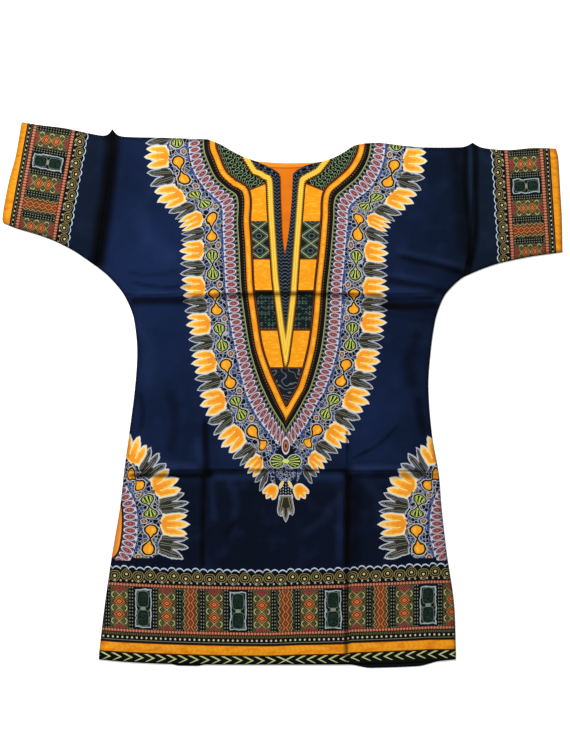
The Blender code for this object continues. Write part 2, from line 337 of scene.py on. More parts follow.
# %% [markdown]
# ## How the cloth lies
# The shirt came out of a packet, so it keeps two sharp folds down its length and two across. The back lies
# on the floor, the front on the back, and the front comes down to the back along every seam. Slow waves and
# short drag lines stand for the rest. A simulation would lose exactly these pressed lines, so they are
# listed one by one, each with its own height and reach.

# %% Distances to lines
def distance_to(path, points):
    """Distance of each point to a line, the length along it where it is nearest, and its whole length."""
    best = np.full(len(points), 1e9)
    where = np.zeros(len(points))
    walked = 0.0
    for a, b in zip(path[:-1], path[1:]):
        step = np.subtract(b, a)
        length = np.hypot(*step)
        share = np.clip(((points - a) @ step) / length**2, 0, 1)
        away = np.hypot(*(points - a - share[:, None] * step).T)
        closer = away < best
        best = np.where(closer, away, best)
        where = np.where(closer, walked + share * length, where)
        walked += length
    return best, where, walked


body_edge = lower_body(FRONT_GORES)
JOINED = (
    body_edge[::4, 0],
    body_edge[::4, -1],
    body_edge[0, ::4],
    smooth_line(SHOULDER_RIGHT, 20),
    smooth_line(SHOULDER_LEFT, 20),
    smooth_line(SLEEVE_RIGHT_TOP, 20),
    smooth_line(SLEEVE_RIGHT_UNDER, 20),
    smooth_line(SLEEVE_RIGHT_CUFF, 20),
    smooth_line(SLEEVE_LEFT_TOP, 20),
    smooth_line(SLEEVE_LEFT_UNDER, 20),
    smooth_line(SLEEVE_LEFT_CUFF, 20),
)
print("seams and folded edges:", len(JOINED))

# %% Creases of the upper cloth
THICK = 0.5
EDGE_LEVEL = 1.3
LEVEL = 2.9
EDGE_ROLL = 30
CREASES = (
    # path, height, reach, unevenness
    (((RIGHT_FOLD_X, -432), (RIGHT_FOLD_X + 1, -200), (RIGHT_FOLD_X, 158)), 1.9, 12, 0.35),
    (((RIGHT_FOLD_X + 9, -432), (RIGHT_FOLD_X + 8, -120)), -0.8, 10, 0.6),
    (((LEFT_FOLD_X, -436), (LEFT_FOLD_X - 1, -200), (LEFT_FOLD_X, 158)), 2.4, 11, 0.3),
    (((LEFT_FOLD_X + 10, -432), (LEFT_FOLD_X + 9, 60)), -0.9, 11, 0.6),
    (((-258, -124), (-100, -125), (0, -129), (90, -130), (256, -123)), 1.9, 11, 0.4),
    (((-120, -119), (0, -121), (100, -121)), -1.0, 8, 0.5),
    (((110, -136), (190, -137), (256, -136)), -0.8, 9, 0.5),
    (((-256, 165), (5, 167), (262, 164)), 2.2, 11, 0.3),
    (((-250, 156), (5, 158), (255, 151)), -0.9, 10, 0.4),
    (ARMHOLE_RIGHT, 2.8, 18, 0.2),
    (ARMHOLE_LEFT, 2.4, 9, 0.25),
    (((302, 404), (303, 338), (309, 256), (306, 219)), -1.2, 8, 0.3),
    (((294, 400), (295, 330), (302, 256)), 1.2, 9, 0.3),
    (((202, 228), (222, 222), (243.4, 218)), 1.6, 8, 0.2),
    (((179, 191), (222, 184), (243.4, 181)), 1.5, 8, 0.2),
    (((184, 229), (240, 216), (300, 204)), 1.1, 11, 0.4),
    (((186, 187), (222, 180), (262, 173)), 1.0, 10, 0.4),
    (((169, 149), (215, 139), (258, 131)), 0.9, 10, 0.4),
    (((-240, 186), (-190, 179), (-150, 184)), 0.7, 9, 0.5),
    (((-236, 203), (-200, 199), (-166, 206)), 0.5, 9, 0.5),
    (((-236, 120), (-200, 108), (-160, 112)), 0.5, 12, 0.6),
    (((112.4, -106), (150, -84), (192, -49)), 0.8, 6, 0.4),
    (((150, 330), (200, 300), (262, 250)), 0.7, 16, 0.5),
    (((-230, 330), (-262, 280), (-280, 236)), 0.9, 16, 0.5),
    (((-232, -2), (-226, -30), (-228, -62)), 0.8, 10, 0.4),
    (((180, 60), (196, 10), (190, -60)), 0.6, 14, 0.6),
    (((-40, -180), (-20, -240), (-30, -300)), 0.5, 18, 0.5),
    (((30, -160), (60, -230), (48, -300)), 0.5, 18, 0.5),
    (((-330, 420), (-345, 350), (-350, 270)), 0.7, 14, 0.5),
    (((345, 390), (352, 320), (350, 240)), 0.7, 14, 0.5),
)
WAVES = (
    # wavelength across, wavelength along, phase, height
    (310, 540, 0.15, 0.5),
    (-190, 260, 0.60, 0.35),
    (900, 150, 0.35, 0.3),
    (83, 170, 0.80, 0.10),
    (-61, 97, 0.25, 0.08),
)
HIGHEST = 3.5


def crease_height(points, creases):
    """Sum of the creases at each point; every crease fades at its ends and varies along itself."""
    total = np.zeros(len(points))
    for path, height, reach, uneven in creases:
        line = smooth_line(path, 24)
        away, along, length = distance_to(line, points)
        slope = np.clip(1 - away / reach, 0, 1) ** 2
        ends = smooth_between(np.minimum(along, length - along) / min(30, length / 3))
        vary = 1 - uneven * (0.5 + 0.5 * np.sin(along / 23 + path[0][0]) * np.sin(along / 61 + path[0][1]))
        total += height * slope * ends * vary
    return total


def wave_height(points):
    total = np.zeros(len(points))
    for across, along, phase, height in WAVES:
        turn = points[:, 0] / across + points[:, 1] / along + phase
        total += height * (0.5 + 0.5 * np.sin(2 * np.pi * turn))
    return total


def upper_level(points):
    """Height in millimetres of the upper face of cloth that lies over a lower layer."""
    inland = np.min([distance_to(edge, points)[0] for edge in JOINED], axis=0)
    inland = smooth_between(inland / EDGE_ROLL)
    rise = np.minimum(0.5 + wave_height(points) + crease_height(points, CREASES), HIGHEST)
    return EDGE_LEVEL + (LEVEL - EDGE_LEVEL + rise) * inland


print("creases placed:", len(CREASES))

# %% Creases of the cloth that lies on the floor
LOWER_LEVEL = 0.1
BACK_CREASES = (
    (((RIGHT_FOLD_X, -432), (RIGHT_FOLD_X, 158)), 0.45, 9, 0.3),
    (((LEFT_FOLD_X, -436), (LEFT_FOLD_X, 158)), 0.5, 9, 0.3),
    (((-258, -127), (256, -130)), 0.4, 9, 0.3),
    (((-256, 162.5), (262, 163.4)), 0.4, 9, 0.3),
    (((-230, 300), (-250, 250), (-262, 220)), 0.3, 10, 0.5),
    (((190, 300), (230, 250), (262, 220)), 0.3, 10, 0.5),
    (((-60, 60), (-20, 0), (-40, -80)), 0.25, 12, 0.5),
    (((90, -200), (60, -260), (70, -330)), 0.25, 12, 0.5),
)


def lying_level(points):
    """Height of the face that touches the floor, with its own shallow creases."""
    return LOWER_LEVEL + crease_height(points, BACK_CREASES)


print("creases on the hidden side:", len(BACK_CREASES))

# %% [markdown]
# ## Shells
# Each piece starts as bmesh grids whose points are moved to the worked-out places. A Solidify
# modifier gives them the thickness of shirting, half a millimetre, and puts a second material on
# the inner side, because a printed cotton is paler on its reverse.

# %% Build the panels
def add_grid(mesh, places):
    """A grid primitive whose points are moved to the worked-out places."""
    rows, columns = places.shape[:2]
    made = bmesh.ops.create_grid(mesh, x_segments=columns - 1, y_segments=rows - 1, size=1)
    for vert, place in zip(made["verts"], places.reshape(-1, places.shape[2])):
        vert.co = place
    return made["verts"]


def with_level(grid, level):
    flat = grid.reshape(-1, 2)
    return np.column_stack([flat, level(flat)]).reshape(*grid.shape[:2], 3)


def panel(name, grids, level, face_down):
    mesh = bmesh.new()
    for grid in grids:
        add_grid(mesh, with_level(grid, level))
    bmesh.ops.remove_doubles(mesh, verts=mesh.verts, dist=0.001)
    if face_down:
        bmesh.ops.reverse_faces(mesh, faces=mesh.faces)
    return shell(name, mesh)


def shell(name, mesh):
    """Turns a sheet in millimetres into a cloth object in metres, with thickness."""
    bmesh.ops.scale(mesh, vec=[0.001] * 3, verts=mesh.verts)
    made = object_of(mesh, name)
    made.data.shade_smooth()
    wall = made.modifiers.new("thickness", "SOLIDIFY")
    wall.thickness = THICK / 1000
    wall.offset = -1
    wall.material_offset = 1
    wall.material_offset_rim = 0
    return made


front = panel("front_cloth", front_grids(), upper_level, False)
back = panel("back_cloth", back_grids(), lying_level, True)
print("faces in front and back:", len(front.data.polygons), len(back.data.polygons))

# %% [markdown]
# A sleeve is a tube pressed flat: folded along its top, sewn underneath. Its sections run from the
# armhole to the cuff. Each section goes out along the lower wall and back along the upper one, and
# a rounded turn joins them at both edges.

# %% Build the sleeves
SLEEVE_SECTIONS = 44
SLEEVE_ACROSS = 44
ARMHOLE_TUCK = 0.15
TURN = 0.35
UPPER_WALL_ABOVE = 0.0015


def flat_tube(points):
    """Closed sections of a flattened tube, from a grid of places seen from above."""
    upper = with_level(points, upper_level)
    lower = with_level(points, lying_level)
    middle = (upper[:, [0, -1]] + lower[:, [0, -1]]) / 2
    outward = points[:, [0, -1]] - points[:, [1, -2]]
    outward /= np.linalg.norm(outward, axis=2)[:, :, None]
    middle[:, :, :2] += outward * TURN
    return np.concatenate([middle[:, :1], lower, middle[:, 1:], upper[:, ::-1], middle[:, :1]], axis=1)


def sleeve(name, top, cuff, under, armhole, outward):
    shift = (outward * ARMHOLE_TUCK, 0)
    inner_edge = smooth_line(armhole, SLEEVE_SECTIONS) + shift
    underarm = smooth_line(under, SLEEVE_ACROSS)
    fold = smooth_line(top, SLEEVE_ACROSS)
    underarm[0], fold[0] = inner_edge[0], inner_edge[-1]
    places = patch(inner_edge, smooth_line(cuff, SLEEVE_SECTIONS), underarm, fold)
    mesh = bmesh.new()
    add_grid(mesh, flat_tube(places))
    bmesh.ops.remove_doubles(mesh, verts=mesh.verts, dist=0.001)
    bmesh.ops.recalc_face_normals(mesh, faces=mesh.faces)
    made = shell(name, mesh)
    upper_faces = [face.normal.z for face in made.data.polygons if face.center.z > UPPER_WALL_ABOVE]
    if sum(upper_faces) < 0:
        made.data.flip_normals()
    return made


sleeve_right = sleeve(
    "sleeve_right_cloth", SLEEVE_RIGHT_TOP, SLEEVE_RIGHT_CUFF, SLEEVE_RIGHT_UNDER, ARMHOLE_RIGHT, -1
)
sleeve_left = sleeve(
    "sleeve_left_cloth", SLEEVE_LEFT_TOP, SLEEVE_LEFT_CUFF, SLEEVE_LEFT_UNDER, ARMHOLE_LEFT, 1
)
CLOTHS = (front, back, sleeve_right, sleeve_left)
print("faces in the sleeves:", len(sleeve_right.data.polygons), len(sleeve_left.data.polygons))

# %% [markdown]
# ## Coordinates of the print
# The print runs in curved bands round the neck and in half-round ones at the sides. On the real
# cloth it was pressed from carved blocks or rollers, so one motif repeats along each band. The
# cloth gets the same idea as numbers on its points: n counts the tulips along a band, and t goes
# from 0 at the band's inner edge through 1 at the ends of the beads to 2 at the tulips' tips.
# Then a motif is drawn once in n and t, and it bends with its band.

# %% Stations of the bands, in pixels of the photograph
# n, inner edge x, y, ends of the beads x, y, tips of the tulips x, y
NECK_BAND_RIGHT = (
    (-0.5, 209.5, 134, 188.5, 136, 146, 138), (0, 210, 148, 189.5, 154, 145, 157),
    (0.5, 213.5, 157.5, 194, 171, 148.5, 179), (1, 221, 174.5, 203.5, 186.5, 158, 202),
    (1.5, 232, 185, 212.5, 195, 173, 217), (2, 243, 193, 222, 206, 180, 227),
    (2.5, 243.5, 222, 223.2, 229, 181, 237), (3, 245, 244, 224, 247.5, 180.5, 250.5),
    (3.5, 246, 266, 224.8, 267.5, 180.5, 268.5), (4, 247, 287, 226, 287.5, 181, 287.6),
    (5, 251, 318, 230.5, 321, 187, 325), (6, 256, 349, 237, 355.5, 192, 364),
    (7, 265.5, 377, 246, 392, 201, 405), (7.5, 271, 389, 250, 402, 211, 430),
    (8, 275.5, 399, 257.5, 416.5, 222, 447), (8.5, 279, 406.5, 270, 434, 237, 463),
    (9, 282, 412, 277, 443, 248, 473), (9.5, 284, 415.5, 281.5, 448, 257, 486),
    (10, 285.3, 419, 284, 451, 266, 503), (10.5, 285.8, 421.5, 285.8, 453, 285.8, 521),
)
NECK_BAND_LEFT = (
    (-0.5, 365.8, 136, 385, 138, 428, 140), (0, 363.8, 151, 383.7, 157, 426.5, 161.3),
    (0.5, 360, 161, 378, 174.5, 423.3, 184), (1, 352, 173, 369, 189, 413, 203.4),
    (1.5, 340, 184, 357, 198.5, 397, 219), (2, 330, 194, 348.5, 208, 389.5, 227.5),
    (2.5, 328, 218, 347, 224, 388, 238.5), (3, 326, 243, 345, 247.5, 388, 253.5),
    (3.5, 323.8, 265, 343.5, 267.5, 387.5, 270.7), (4, 321.6, 285, 341.5, 287, 388, 288.5),
    (5, 319, 318, 340.3, 320, 386, 322.5), (6, 314.5, 350, 335.5, 356.5, 379.5, 361.7),
    (7, 304.5, 386.5, 324.5, 390, 368.5, 403), (7.5, 298.5, 398, 316.5, 403.5, 357, 425),
    (8, 295, 404, 310.5, 417, 348, 442), (8.5, 291.5, 410.5, 300.5, 433, 334, 457.5),
    (9, 288.8, 415, 293.5, 442.5, 324, 468), (9.5, 287.3, 418, 289.5, 448, 314.5, 480),
    (10, 286.4, 420, 287.3, 451, 306, 494), (10.5, 285.8, 421.5, 285.8, 453, 285.8, 521),
)
SIDE_BAND = (
    (-0.5, 108, 484, 114, 474, 118, 428), (0, 114, 490, 123, 483, 139, 437),
    (0.5, 118, 497, 129, 492, 158, 455), (1, 121, 504, 133, 500, 177.5, 478.5),
    (1.5, 122.3, 512, 136, 511, 186.5, 503), (2, 122.5, 523, 137, 523, 189, 524.4),
    (2.5, 121.5, 537, 136, 540, 186, 547), (3, 119, 550, 131, 558, 176, 575),
    (3.5, 116, 556, 124, 566, 160, 590),
)
SIDE_MIRROR = 567.4
print("stations:", len(NECK_BAND_RIGHT), len(NECK_BAND_LEFT), len(SIDE_BAND))

# %% From points to n and t
BAND_STEP = 16
BAND_REACH = 6
SMALLEST_AREA = 5
OUTSIDE = 3


def band_grid(stations, mirror=None):
    """The counts n, the shares t and the places of a fine grid over a band."""
    table = np.array(stations)
    if mirror:
        table[:, 1::2] = mirror - table[:, 1::2]
    counts = [round((b - a) * BAND_STEP) for a, b in zip(table[:-1, 0], table[1:, 0])]
    knots = np.concatenate([[0], np.cumsum(counts)])
    n = np.interp(np.arange(knots[-1] + 1), knots, table[:, 0])
    inner, beads, tips = [
        smooth_steps([to_cloth(x, y) for x, y in table[:, k : k + 2]], counts)[:, None] for k in (1, 3, 5)
    ]
    t = np.linspace(-0.25, 2.25, 81)
    share = t[None, :, None]
    places = np.where(share < 1, inner + (beads - inner) * share, beads + (tips - beads) * (share - 1))
    return n, t, places


def band_place(grid, points):
    """n and t of each point: the nearest place of the grid, corrected by the grid's own slope."""
    n, t, places = grid
    rows, columns = places.shape[:2]
    tree = KDTree(rows * columns)
    for k, (x, y) in enumerate(places.reshape(-1, 2)):
        tree.insert((x, y, 0), k)
    tree.balance()
    found = [tree.find((x, y, 0)) for x, y in points]
    index = np.array([hit[1] for hit in found])
    away = np.array([hit[2] for hit in found])
    i, j = index // columns, index % columns
    low_i, high_i = np.maximum(i - 1, 0), np.minimum(i + 1, rows - 1)
    low_j, high_j = np.maximum(j - 1, 0), np.minimum(j + 1, columns - 1)
    along = (places[high_i, j] - places[low_i, j]) / (n[high_i] - n[low_i])[:, None]
    across = (places[i, high_j] - places[i, low_j]) / (t[high_j] - t[low_j])[:, None]
    gap = points - places[i, j]
    area = along[:, 0] * across[:, 1] - along[:, 1] * across[:, 0]
    area = np.where(abs(area) < SMALLEST_AREA, 1e9, area)
    dn = (gap[:, 0] * across[:, 1] - gap[:, 1] * across[:, 0]) / area
    dt = (along[:, 0] * gap[:, 1] - along[:, 1] * gap[:, 0]) / area
    n_found = n[i] + np.clip(dn, -0.1, 0.1)
    t_found = np.where(away > BAND_REACH, OUTSIDE, t[j] + np.clip(dt, -0.06, 0.06))
    return n_found, t_found


def bead_count(grid, share, pitch, points_n):
    """How many beads of that pitch lie between a point and the band's last station."""
    n, t, places = grid
    column = np.argmin(abs(t - share))
    walked = walked_along(places[:, column])
    return np.interp(points_n, n, (walked[-1] - walked) / pitch)


BANDS = {
    "neck right": band_grid(NECK_BAND_RIGHT),
    "neck left": band_grid(NECK_BAND_LEFT),
    "side right": band_grid(SIDE_BAND),
    "side left": band_grid(SIDE_BAND, SIDE_MIRROR),
}
print("band lengths in mm:", [round(walked_along(g[2][:, 0])[-1]) for g in BANDS.values()])

# %% [markdown]
# Inside the bands the print is a set of stripes that keep an even width, so there the useful
# number is the distance to an edge. Two outlines are enough: the outer edge of the orange stripe
# and the outer edge of the yellow one. A point inside an outline gets a negative distance.

# %% Outlines of the stripes
YELLOW_EDGE_RIGHT = (
    (236, 120), (243, 158.5), (252, 173), (266.4, 180.2), (267, 185), (268, 210), (270, 242),
    (272.5, 279), (278, 325), (285, 369),
)
YELLOW_EDGE_LEFT = (
    (336, 120), (329.7, 160.8), (320, 173), (305, 181), (303.9, 188), (302, 214), (299.4, 250),
    (296.5, 293), (292.5, 328.7), (288, 361.7),
)


def outline_distance(outline, points):
    """Distance to a closed outline, negative for a point inside it."""
    closed = np.vstack([outline, outline[:1]])
    away = distance_to(closed, points)[0]
    inside = np.zeros(len(points), bool)
    for (ax, ay), (bx, by) in zip(closed[:-1], closed[1:]):
        if ay == by:
            continue
        spans = (ay > points[:, 1]) != (by > points[:, 1])
        crossing = ax + (points[:, 1] - ay) / (by - ay) * (bx - ax)
        inside ^= spans & (points[:, 0] < crossing)
    return np.where(inside, -away, away)


def band_edge(name):
    t, places = BANDS[name][1:]
    return places[:, np.argmin(abs(t))]


far_top = [to_cloth(372, 60), to_cloth(203, 60)]
ORANGE_OUTLINE = np.vstack([band_edge("neck right"), band_edge("neck left")[::-1], far_top])
YELLOW_OUTLINE = np.array([to_cloth(x, y) for x, y in YELLOW_EDGE_RIGHT + YELLOW_EDGE_LEFT[::-1]])
SIDE_OUTLINES = {
    "side right": np.vstack([band_edge("side right"), [to_cloth(50, 600), to_cloth(50, 440)]]),
    "side left": np.vstack([band_edge("side left"), [to_cloth(517, 600), to_cloth(517, 440)]]),
}
print("points on the orange edge:", len(ORANGE_OUTLINE))

# %% [markdown]
# The borders of hem and cuffs are rows of upright panels. There the numbers are c, which counts
# the panels along the edge, and v, the distance from the edge in millimetres of the hem's print.
# The cuffs carry the same border, about a fifth less deep and without its lowest row.

# %% Numbers for the borders
PANEL = 39.2
CUFF_PANEL = 36.2
RIGHT_CUFF_HEIGHTS = (0, 11, 12.5, 19.5, 29.5, 80, 91, 107, 112, 157)
LEFT_CUFF_HEIGHTS = (0, 11, 12.5, 20.5, 30.5, 75.5, 86.5, 101, 107, 152)
RIGHT_BOX_AT = 111.2
LEFT_BOX_AT = 112.4
HEM_HEIGHTS = (17.5, 33, 36, 49.5, 57, 122, 131, 148, 158, 210)
HEM_PRINT_LIFT = ((-300, 0), (-20, 0.5), (29, 2.2), (103, 2.6), (115, 4.4), (243, 4.6), (285, 2.2))


def hem_numbers(points):
    """c and v over the body; the print lies a little higher left of the middle than right of it."""
    x, y = points.T
    hem_line = -438.1 - 9.07 * (1 - ((x + 7.4) / 293.7) ** 2)
    lift = np.interp(x, *np.transpose(HEM_PRINT_LIFT))
    return (x - 5.1) / PANEL, y - hem_line - lift


def cuff_numbers(points, lower_wall, cuff, inward, box_at, heights):
    """c counts the panels down the cuff and on round the sleeve's other wall."""
    start, end = np.array(cuff[0]), np.array(cuff[-1])
    length = np.hypot(*(end - start))
    along = (points - start) @ (end - start) / length
    normal = np.array([end[1] - start[1], start[0] - end[0]]) / length
    from_cuff = (points - start) @ normal * inward
    round_it = np.where(lower_wall, 2 * length - along, along)
    v = np.interp(from_cuff, heights, HEM_HEIGHTS)
    return 2 + (box_at - round_it) / CUFF_PANEL, v


print("panels across the hem:", round(590 / PANEL, 1))

# %% [markdown]
# Pressed folds and seams are darker than the cloth beside them, and the lit side of a ridge is lighter. The
# relief alone is too shallow to show that on such dark cloth, so every crease also carries a painted tone,
# from -1 for black painted shade to +1 for a pale painted highlight.

# %% Painted shade and highlight along the creases
CREASE_PAINTED_LIGHT = (
    # path in pixels of the photograph, tone (painted shade below 0, painted highlight above 0), reach in
    # millimetres
    (((205, 420), (206.5, 470)), -0.70, 9),
    (((204, 474), (202, 568)), -0.70, 8),
    (((211, 478), (214, 520)), 0.30, 9),
    (((197, 436), (200, 466)), 0.35, 10),
    (((348, 474), (346.5, 568)), -0.85, 8),
    (((340, 490), (339, 562)), 0.35, 10),
    (((356, 478), (354, 566)), -0.35, 20),
    (((346.5, 568), (346, 662)), -0.65, 6),
    (((132, 293.5), (196, 294.5)), 0.50, 5),
    (((130, 301), (190, 300.5)), -0.70, 12),
    (((190, 297), (236, 295), (290, 293.5), (384, 296)), -0.80, 6),
    (((380, 299), (436, 298)), -0.40, 5),
    (((384, 290), (436, 289)), 0.35, 9),
    (((380, 306), (438, 306)), -0.80, 10),
    (((128, 475), (210, 475)), -0.85, 7),
    (((150, 463), (198, 467)), 0.45, 12),
    (((205, 471), (350, 470.5)), -0.80, 5),
    (((210, 477), (344, 477)), 0.50, 9),
    (((352, 467.5), (436, 467.5)), 0.60, 8),
    (((352, 475), (438, 475)), -0.55, 7),
    (((202, 468), (213, 477)), -0.75, 9),
    (((342, 468), (352, 481)), -0.80, 9),
    (((111, 129), (112, 145), (107, 190), (101.5, 230), (96, 266)), -0.95, 21),
    (((475.5, 141), (475.5, 190), (475.5, 240), (467, 275)), -0.75, 8),
    (((465.5, 146), (466, 190), (470, 240), (468, 266)), -0.60, 7),
    (((470.5, 150), (470.5, 200)), 0.30, 5),
    (((399, 256), (415, 260), (430, 263), (450, 269), (466, 275)), -0.55, 9),
    (((386, 279), (400, 282), (420, 286), (440, 290), (450, 294)), -0.55, 9),
    (((394, 250), (465, 266)), 0.30, 9),
    (((456, 148), (461, 200), (467, 256)), -0.40, 22),
    (((391, 274), (431, 280)), 0.30, 8),
    (((385, 305), (440, 315)), -0.30, 8),
    (((385, 314), (440, 322)), -0.22, 8),
    (((350.6, 459), (376, 446), (399, 425)), -0.45, 4),
    (((132, 283), (160, 287), (192, 286)), -0.35, 6),
    (((128, 272), (150, 275), (180, 270)), -0.25, 7),
    (((139, 392), (143, 410), (140, 432)), -0.35, 8),
    (((418, 396), (421, 420), (425, 436)), -0.45, 12),
    (((224, 535), (236, 520)), -0.40, 9),
    (((228, 478), (236, 500), (232, 530)), 0.25, 12),
    (((300, 536), (322, 520), (338, 498)), 0.22, 12),
    (((366, 482), (380, 500), (378, 530)), 0.22, 14),
    (((133, 320), (150, 350), (148, 384)), 0.22, 20),
    (((420, 330), (408, 360), (414, 390)), -0.30, 18),
    (((168, 390), (176, 420), (170, 452)), -0.25, 14),
    (((134, 206), (150, 236), (176, 262)), 0.25, 26),
)


def crease_painted_light(points):
    """Sum of the painted shade and painted highlight of all creases, and a little painted shade along seams
    and folded edges.
    """
    total = np.zeros(len(points))
    for path, tone, reach in CREASE_PAINTED_LIGHT:
        line = smooth_line([to_cloth(x, y) for x, y in path], 8)
        away, along, length = distance_to(line, points)
        ends = smooth_between((np.minimum(along, length - along) + 4) / 12)
        swing = min(0.18, 1.2 / reach)
        uneven = 1 - swing + swing * np.sin(along / 9 + path[0][0]) * np.sin(along / 31 + path[0][1])
        total += tone * ends * uneven * smooth_between(1 - away / reach)
    rim = np.min([distance_to(edge, points)[0] for edge in JOINED], axis=0)
    return np.clip(total - 0.3 * smooth_between(1 - rim / 7), -0.95, 0.9)


print("toned creases:", len(CREASE_PAINTED_LIGHT))

# %% Write the numbers on the cloth
BEAD_PITCH = 10.5
SIDE_BEAD_PITCH = 11.6
DOT_PITCH = 6.9
SIDE_NUMBER = 40
SIDE_CENTRE = 1.6
SIDE_FROM = 135
SIDE_TOP = -40
FAR = 50
LOWER_WALL_BELOW = 0.75


def store(cloth, name, first, second, third):
    values = np.column_stack([first, second, third]).astype(np.float32)
    layer = cloth.data.attributes.new(name, "FLOAT_VECTOR", "POINT")
    layer.data.foreach_set("vector", values.ravel())


def flat_points(cloth):
    """Places of the cloth's points seen from above, and their heights, in millimetres."""
    places = np.empty(len(cloth.data.vertices) * 3)
    cloth.data.vertices.foreach_get("co", places)
    places = places.reshape(-1, 3) * 1000
    return places[:, :2], places[:, 2]


def number_body(cloth):
    points = flat_points(cloth)[0]
    n, t = np.zeros(len(points)), np.full(len(points), float(OUTSIDE))
    beads, dots = np.zeros(len(points)), np.zeros(len(points))
    orange = outline_distance(ORANGE_OUTLINE, points)
    yellow = outline_distance(YELLOW_OUTLINE, points)
    at_side = (abs(points[:, 0] - SIDE_CENTRE) > SIDE_FROM) & (points[:, 1] < SIDE_TOP)
    on_right = points[:, 0] < MIDDLE_X
    for name, chosen, pitch, first in (
        ("neck right", ~at_side & on_right, BEAD_PITCH, 0),
        ("neck left", ~at_side & ~on_right, BEAD_PITCH, 0),
        ("side right", at_side & on_right, SIDE_BEAD_PITCH, SIDE_NUMBER),
        ("side left", at_side & ~on_right, SIDE_BEAD_PITCH, SIDE_NUMBER),
    ):
        grid = BANDS[name]
        n_here, t_here = band_place(grid, points[chosen])
        n[chosen], t[chosen] = n_here + first, t_here
        beads[chosen] = bead_count(grid, 0.73, pitch, n_here)
        dots[chosen] = bead_count(grid, 0.4, DOT_PITCH, n_here)
        if first:
            orange[chosen] = outline_distance(SIDE_OUTLINES[name], points[chosen])
            yellow[chosen] = FAR
    c, v = hem_numbers(points)
    store(cloth, "band", n, t, beads)
    store(cloth, "stripe", orange, yellow, dots)
    # the third number is the creases' painted shade and painted highlight
    store(cloth, "border", c, v, crease_painted_light(points))


def number_sleeve(cloth, cuff, inward, box_at, cuff_heights):
    points, heights = flat_points(cloth)
    c, v = cuff_numbers(points, heights < LOWER_WALL_BELOW, cuff, inward, box_at, cuff_heights)
    store(cloth, "band", 0 * c, 0 * c + OUTSIDE, 0 * c)
    store(cloth, "stripe", 0 * c + FAR, 0 * c + FAR, 0 * c)
    # the third number is the creases' painted shade and painted highlight
    store(cloth, "border", c, v, crease_painted_light(points))


number_body(front)
number_body(back)
number_sleeve(sleeve_right, SLEEVE_RIGHT_CUFF, 1, RIGHT_BOX_AT, RIGHT_CUFF_HEIGHTS)
number_sleeve(sleeve_left, SLEEVE_LEFT_CUFF, -1, LEFT_BOX_AT, LEFT_CUFF_HEIGHTS)
stored = [name for name in ("band", "stripe", "border") if name in front.data.attributes]
print("attributes on the front:", stored)

# %% [markdown]
# ## Drawing with numbers
# A material's maths is easier to read as ordinary expressions, so one small class wraps a socket.
# Adding or comparing such fields adds the Math nodes, and any other node comes from one method.

# %% The field class
class Field:
    """A value that changes over the cloth."""

    def __init__(self, tree, socket):
        self.tree = tree
        self.socket = socket

    def node(self, kind, settings, feeds, out=0):
        """Any node: its type, its settings, the values or links of its sockets, and its output."""
        made = self.tree.nodes.new(kind)
        for name, value in settings.items():
            setattr(made, name, value)
        for key, value in feeds.items():
            if isinstance(value, Field):
                self.tree.links.new(value.socket, made.inputs[key])
            else:
                made.inputs[key].default_value = value
        return Field(self.tree, made.outputs[out])

    def maths(self, operation, *values):
        return self.node("ShaderNodeMath", {"operation": operation}, dict(enumerate(values)))

    def sine(self):
        return self.maths("SINE", self)

    def lay(self, red, green, blue, mask):
        """This colour with another laid over it where the mask is 1, printed dye and painted shade and
        highlight alike; the new colour is in 0 to 255 numbers.
        """
        return paint(self, linear_colour(red, green, blue), mask)

    def __add__(self, other):
        return self.maths("ADD", self, other)

    __radd__ = __add__

    def __sub__(self, other):
        return self.maths("SUBTRACT", self, other)

    def __rsub__(self, other):
        return self.maths("SUBTRACT", other, self)

    def __mul__(self, other):
        return self.maths("MULTIPLY", self, other)

    __rmul__ = __mul__

    def __truediv__(self, other):
        return self.maths("DIVIDE", self, other)

    def __rtruediv__(self, other):
        return self.maths("DIVIDE", other, self)

    def __neg__(self):
        return self.maths("MULTIPLY", self, -1)

    def __abs__(self):
        return self.maths("ABSOLUTE", self)

    def __gt__(self, other):
        return self.maths("GREATER_THAN", self, other)

    def __lt__(self, other):
        return self.maths("LESS_THAN", self, other)

    def __and__(self, other):
        return self.maths("MINIMUM", self, other)

    def __or__(self, other):
        return self.maths("MAXIMUM", self, other)


print("operators:", [name for name in vars(Field) if name.startswith("__")][:6], "and more")

# %% [markdown]
# A few words are enough to draw with: between picks a stripe, fold gives the distance to the nearest of
# evenly spaced lines, oval measures a rounded shape, and paint or lay puts a colour, print and painted
# shade alike, where a mask is 1. Minimum and maximum cut and join shapes, which is what & and | stand for.

# %% Words for drawing
def linear_colour(red, green, blue):
    """A colour, printed dye and painted shade alike, by its everyday 0 to 255 numbers, as Blender's linear
    colour.
    """
    levels = [v / 255 for v in (red, green, blue)]
    return (*[v / 12.92 if v <= 0.04045 else ((v + 0.055) / 1.055) ** 2.4 for v in levels], 1)


def between(value, low, high):
    return value.maths("COMPARE", value, (low + high) / 2, (high - low) / 2)


def fold(value, period=1):
    """Distance to the nearest whole multiple of the period."""
    return value.maths("PINGPONG", value, period / 2)


def oval(x, y, half_x, half_y):
    """1 on the edge of an oval, less inside it."""
    flat = x.node("ShaderNodeCombineXYZ", {}, {0: x, 1: y})
    shrink = (1 / half_x, 1 / half_y, 0)
    scaled = flat.node("ShaderNodeVectorMath", {"operation": "MULTIPLY"}, {0: flat, 1: shrink})
    return scaled.node("ShaderNodeVectorMath", {"operation": "LENGTH"}, {0: scaled}, 1)


def blend(share, first, second, kind="MIX"):
    """Mixes two colours by a share that is a field."""
    settings = {"data_type": "RGBA", "blend_type": kind}
    return share.node("ShaderNodeMix", settings, {0: share, 6: first, 7: second}, 2)


def paint(under, colour, mask):
    """Lays a colour over what is there, where the mask is 1."""
    return under.node("ShaderNodeMix", {"data_type": "RGBA"}, {0: mask, 6: under, 7: colour}, 2)


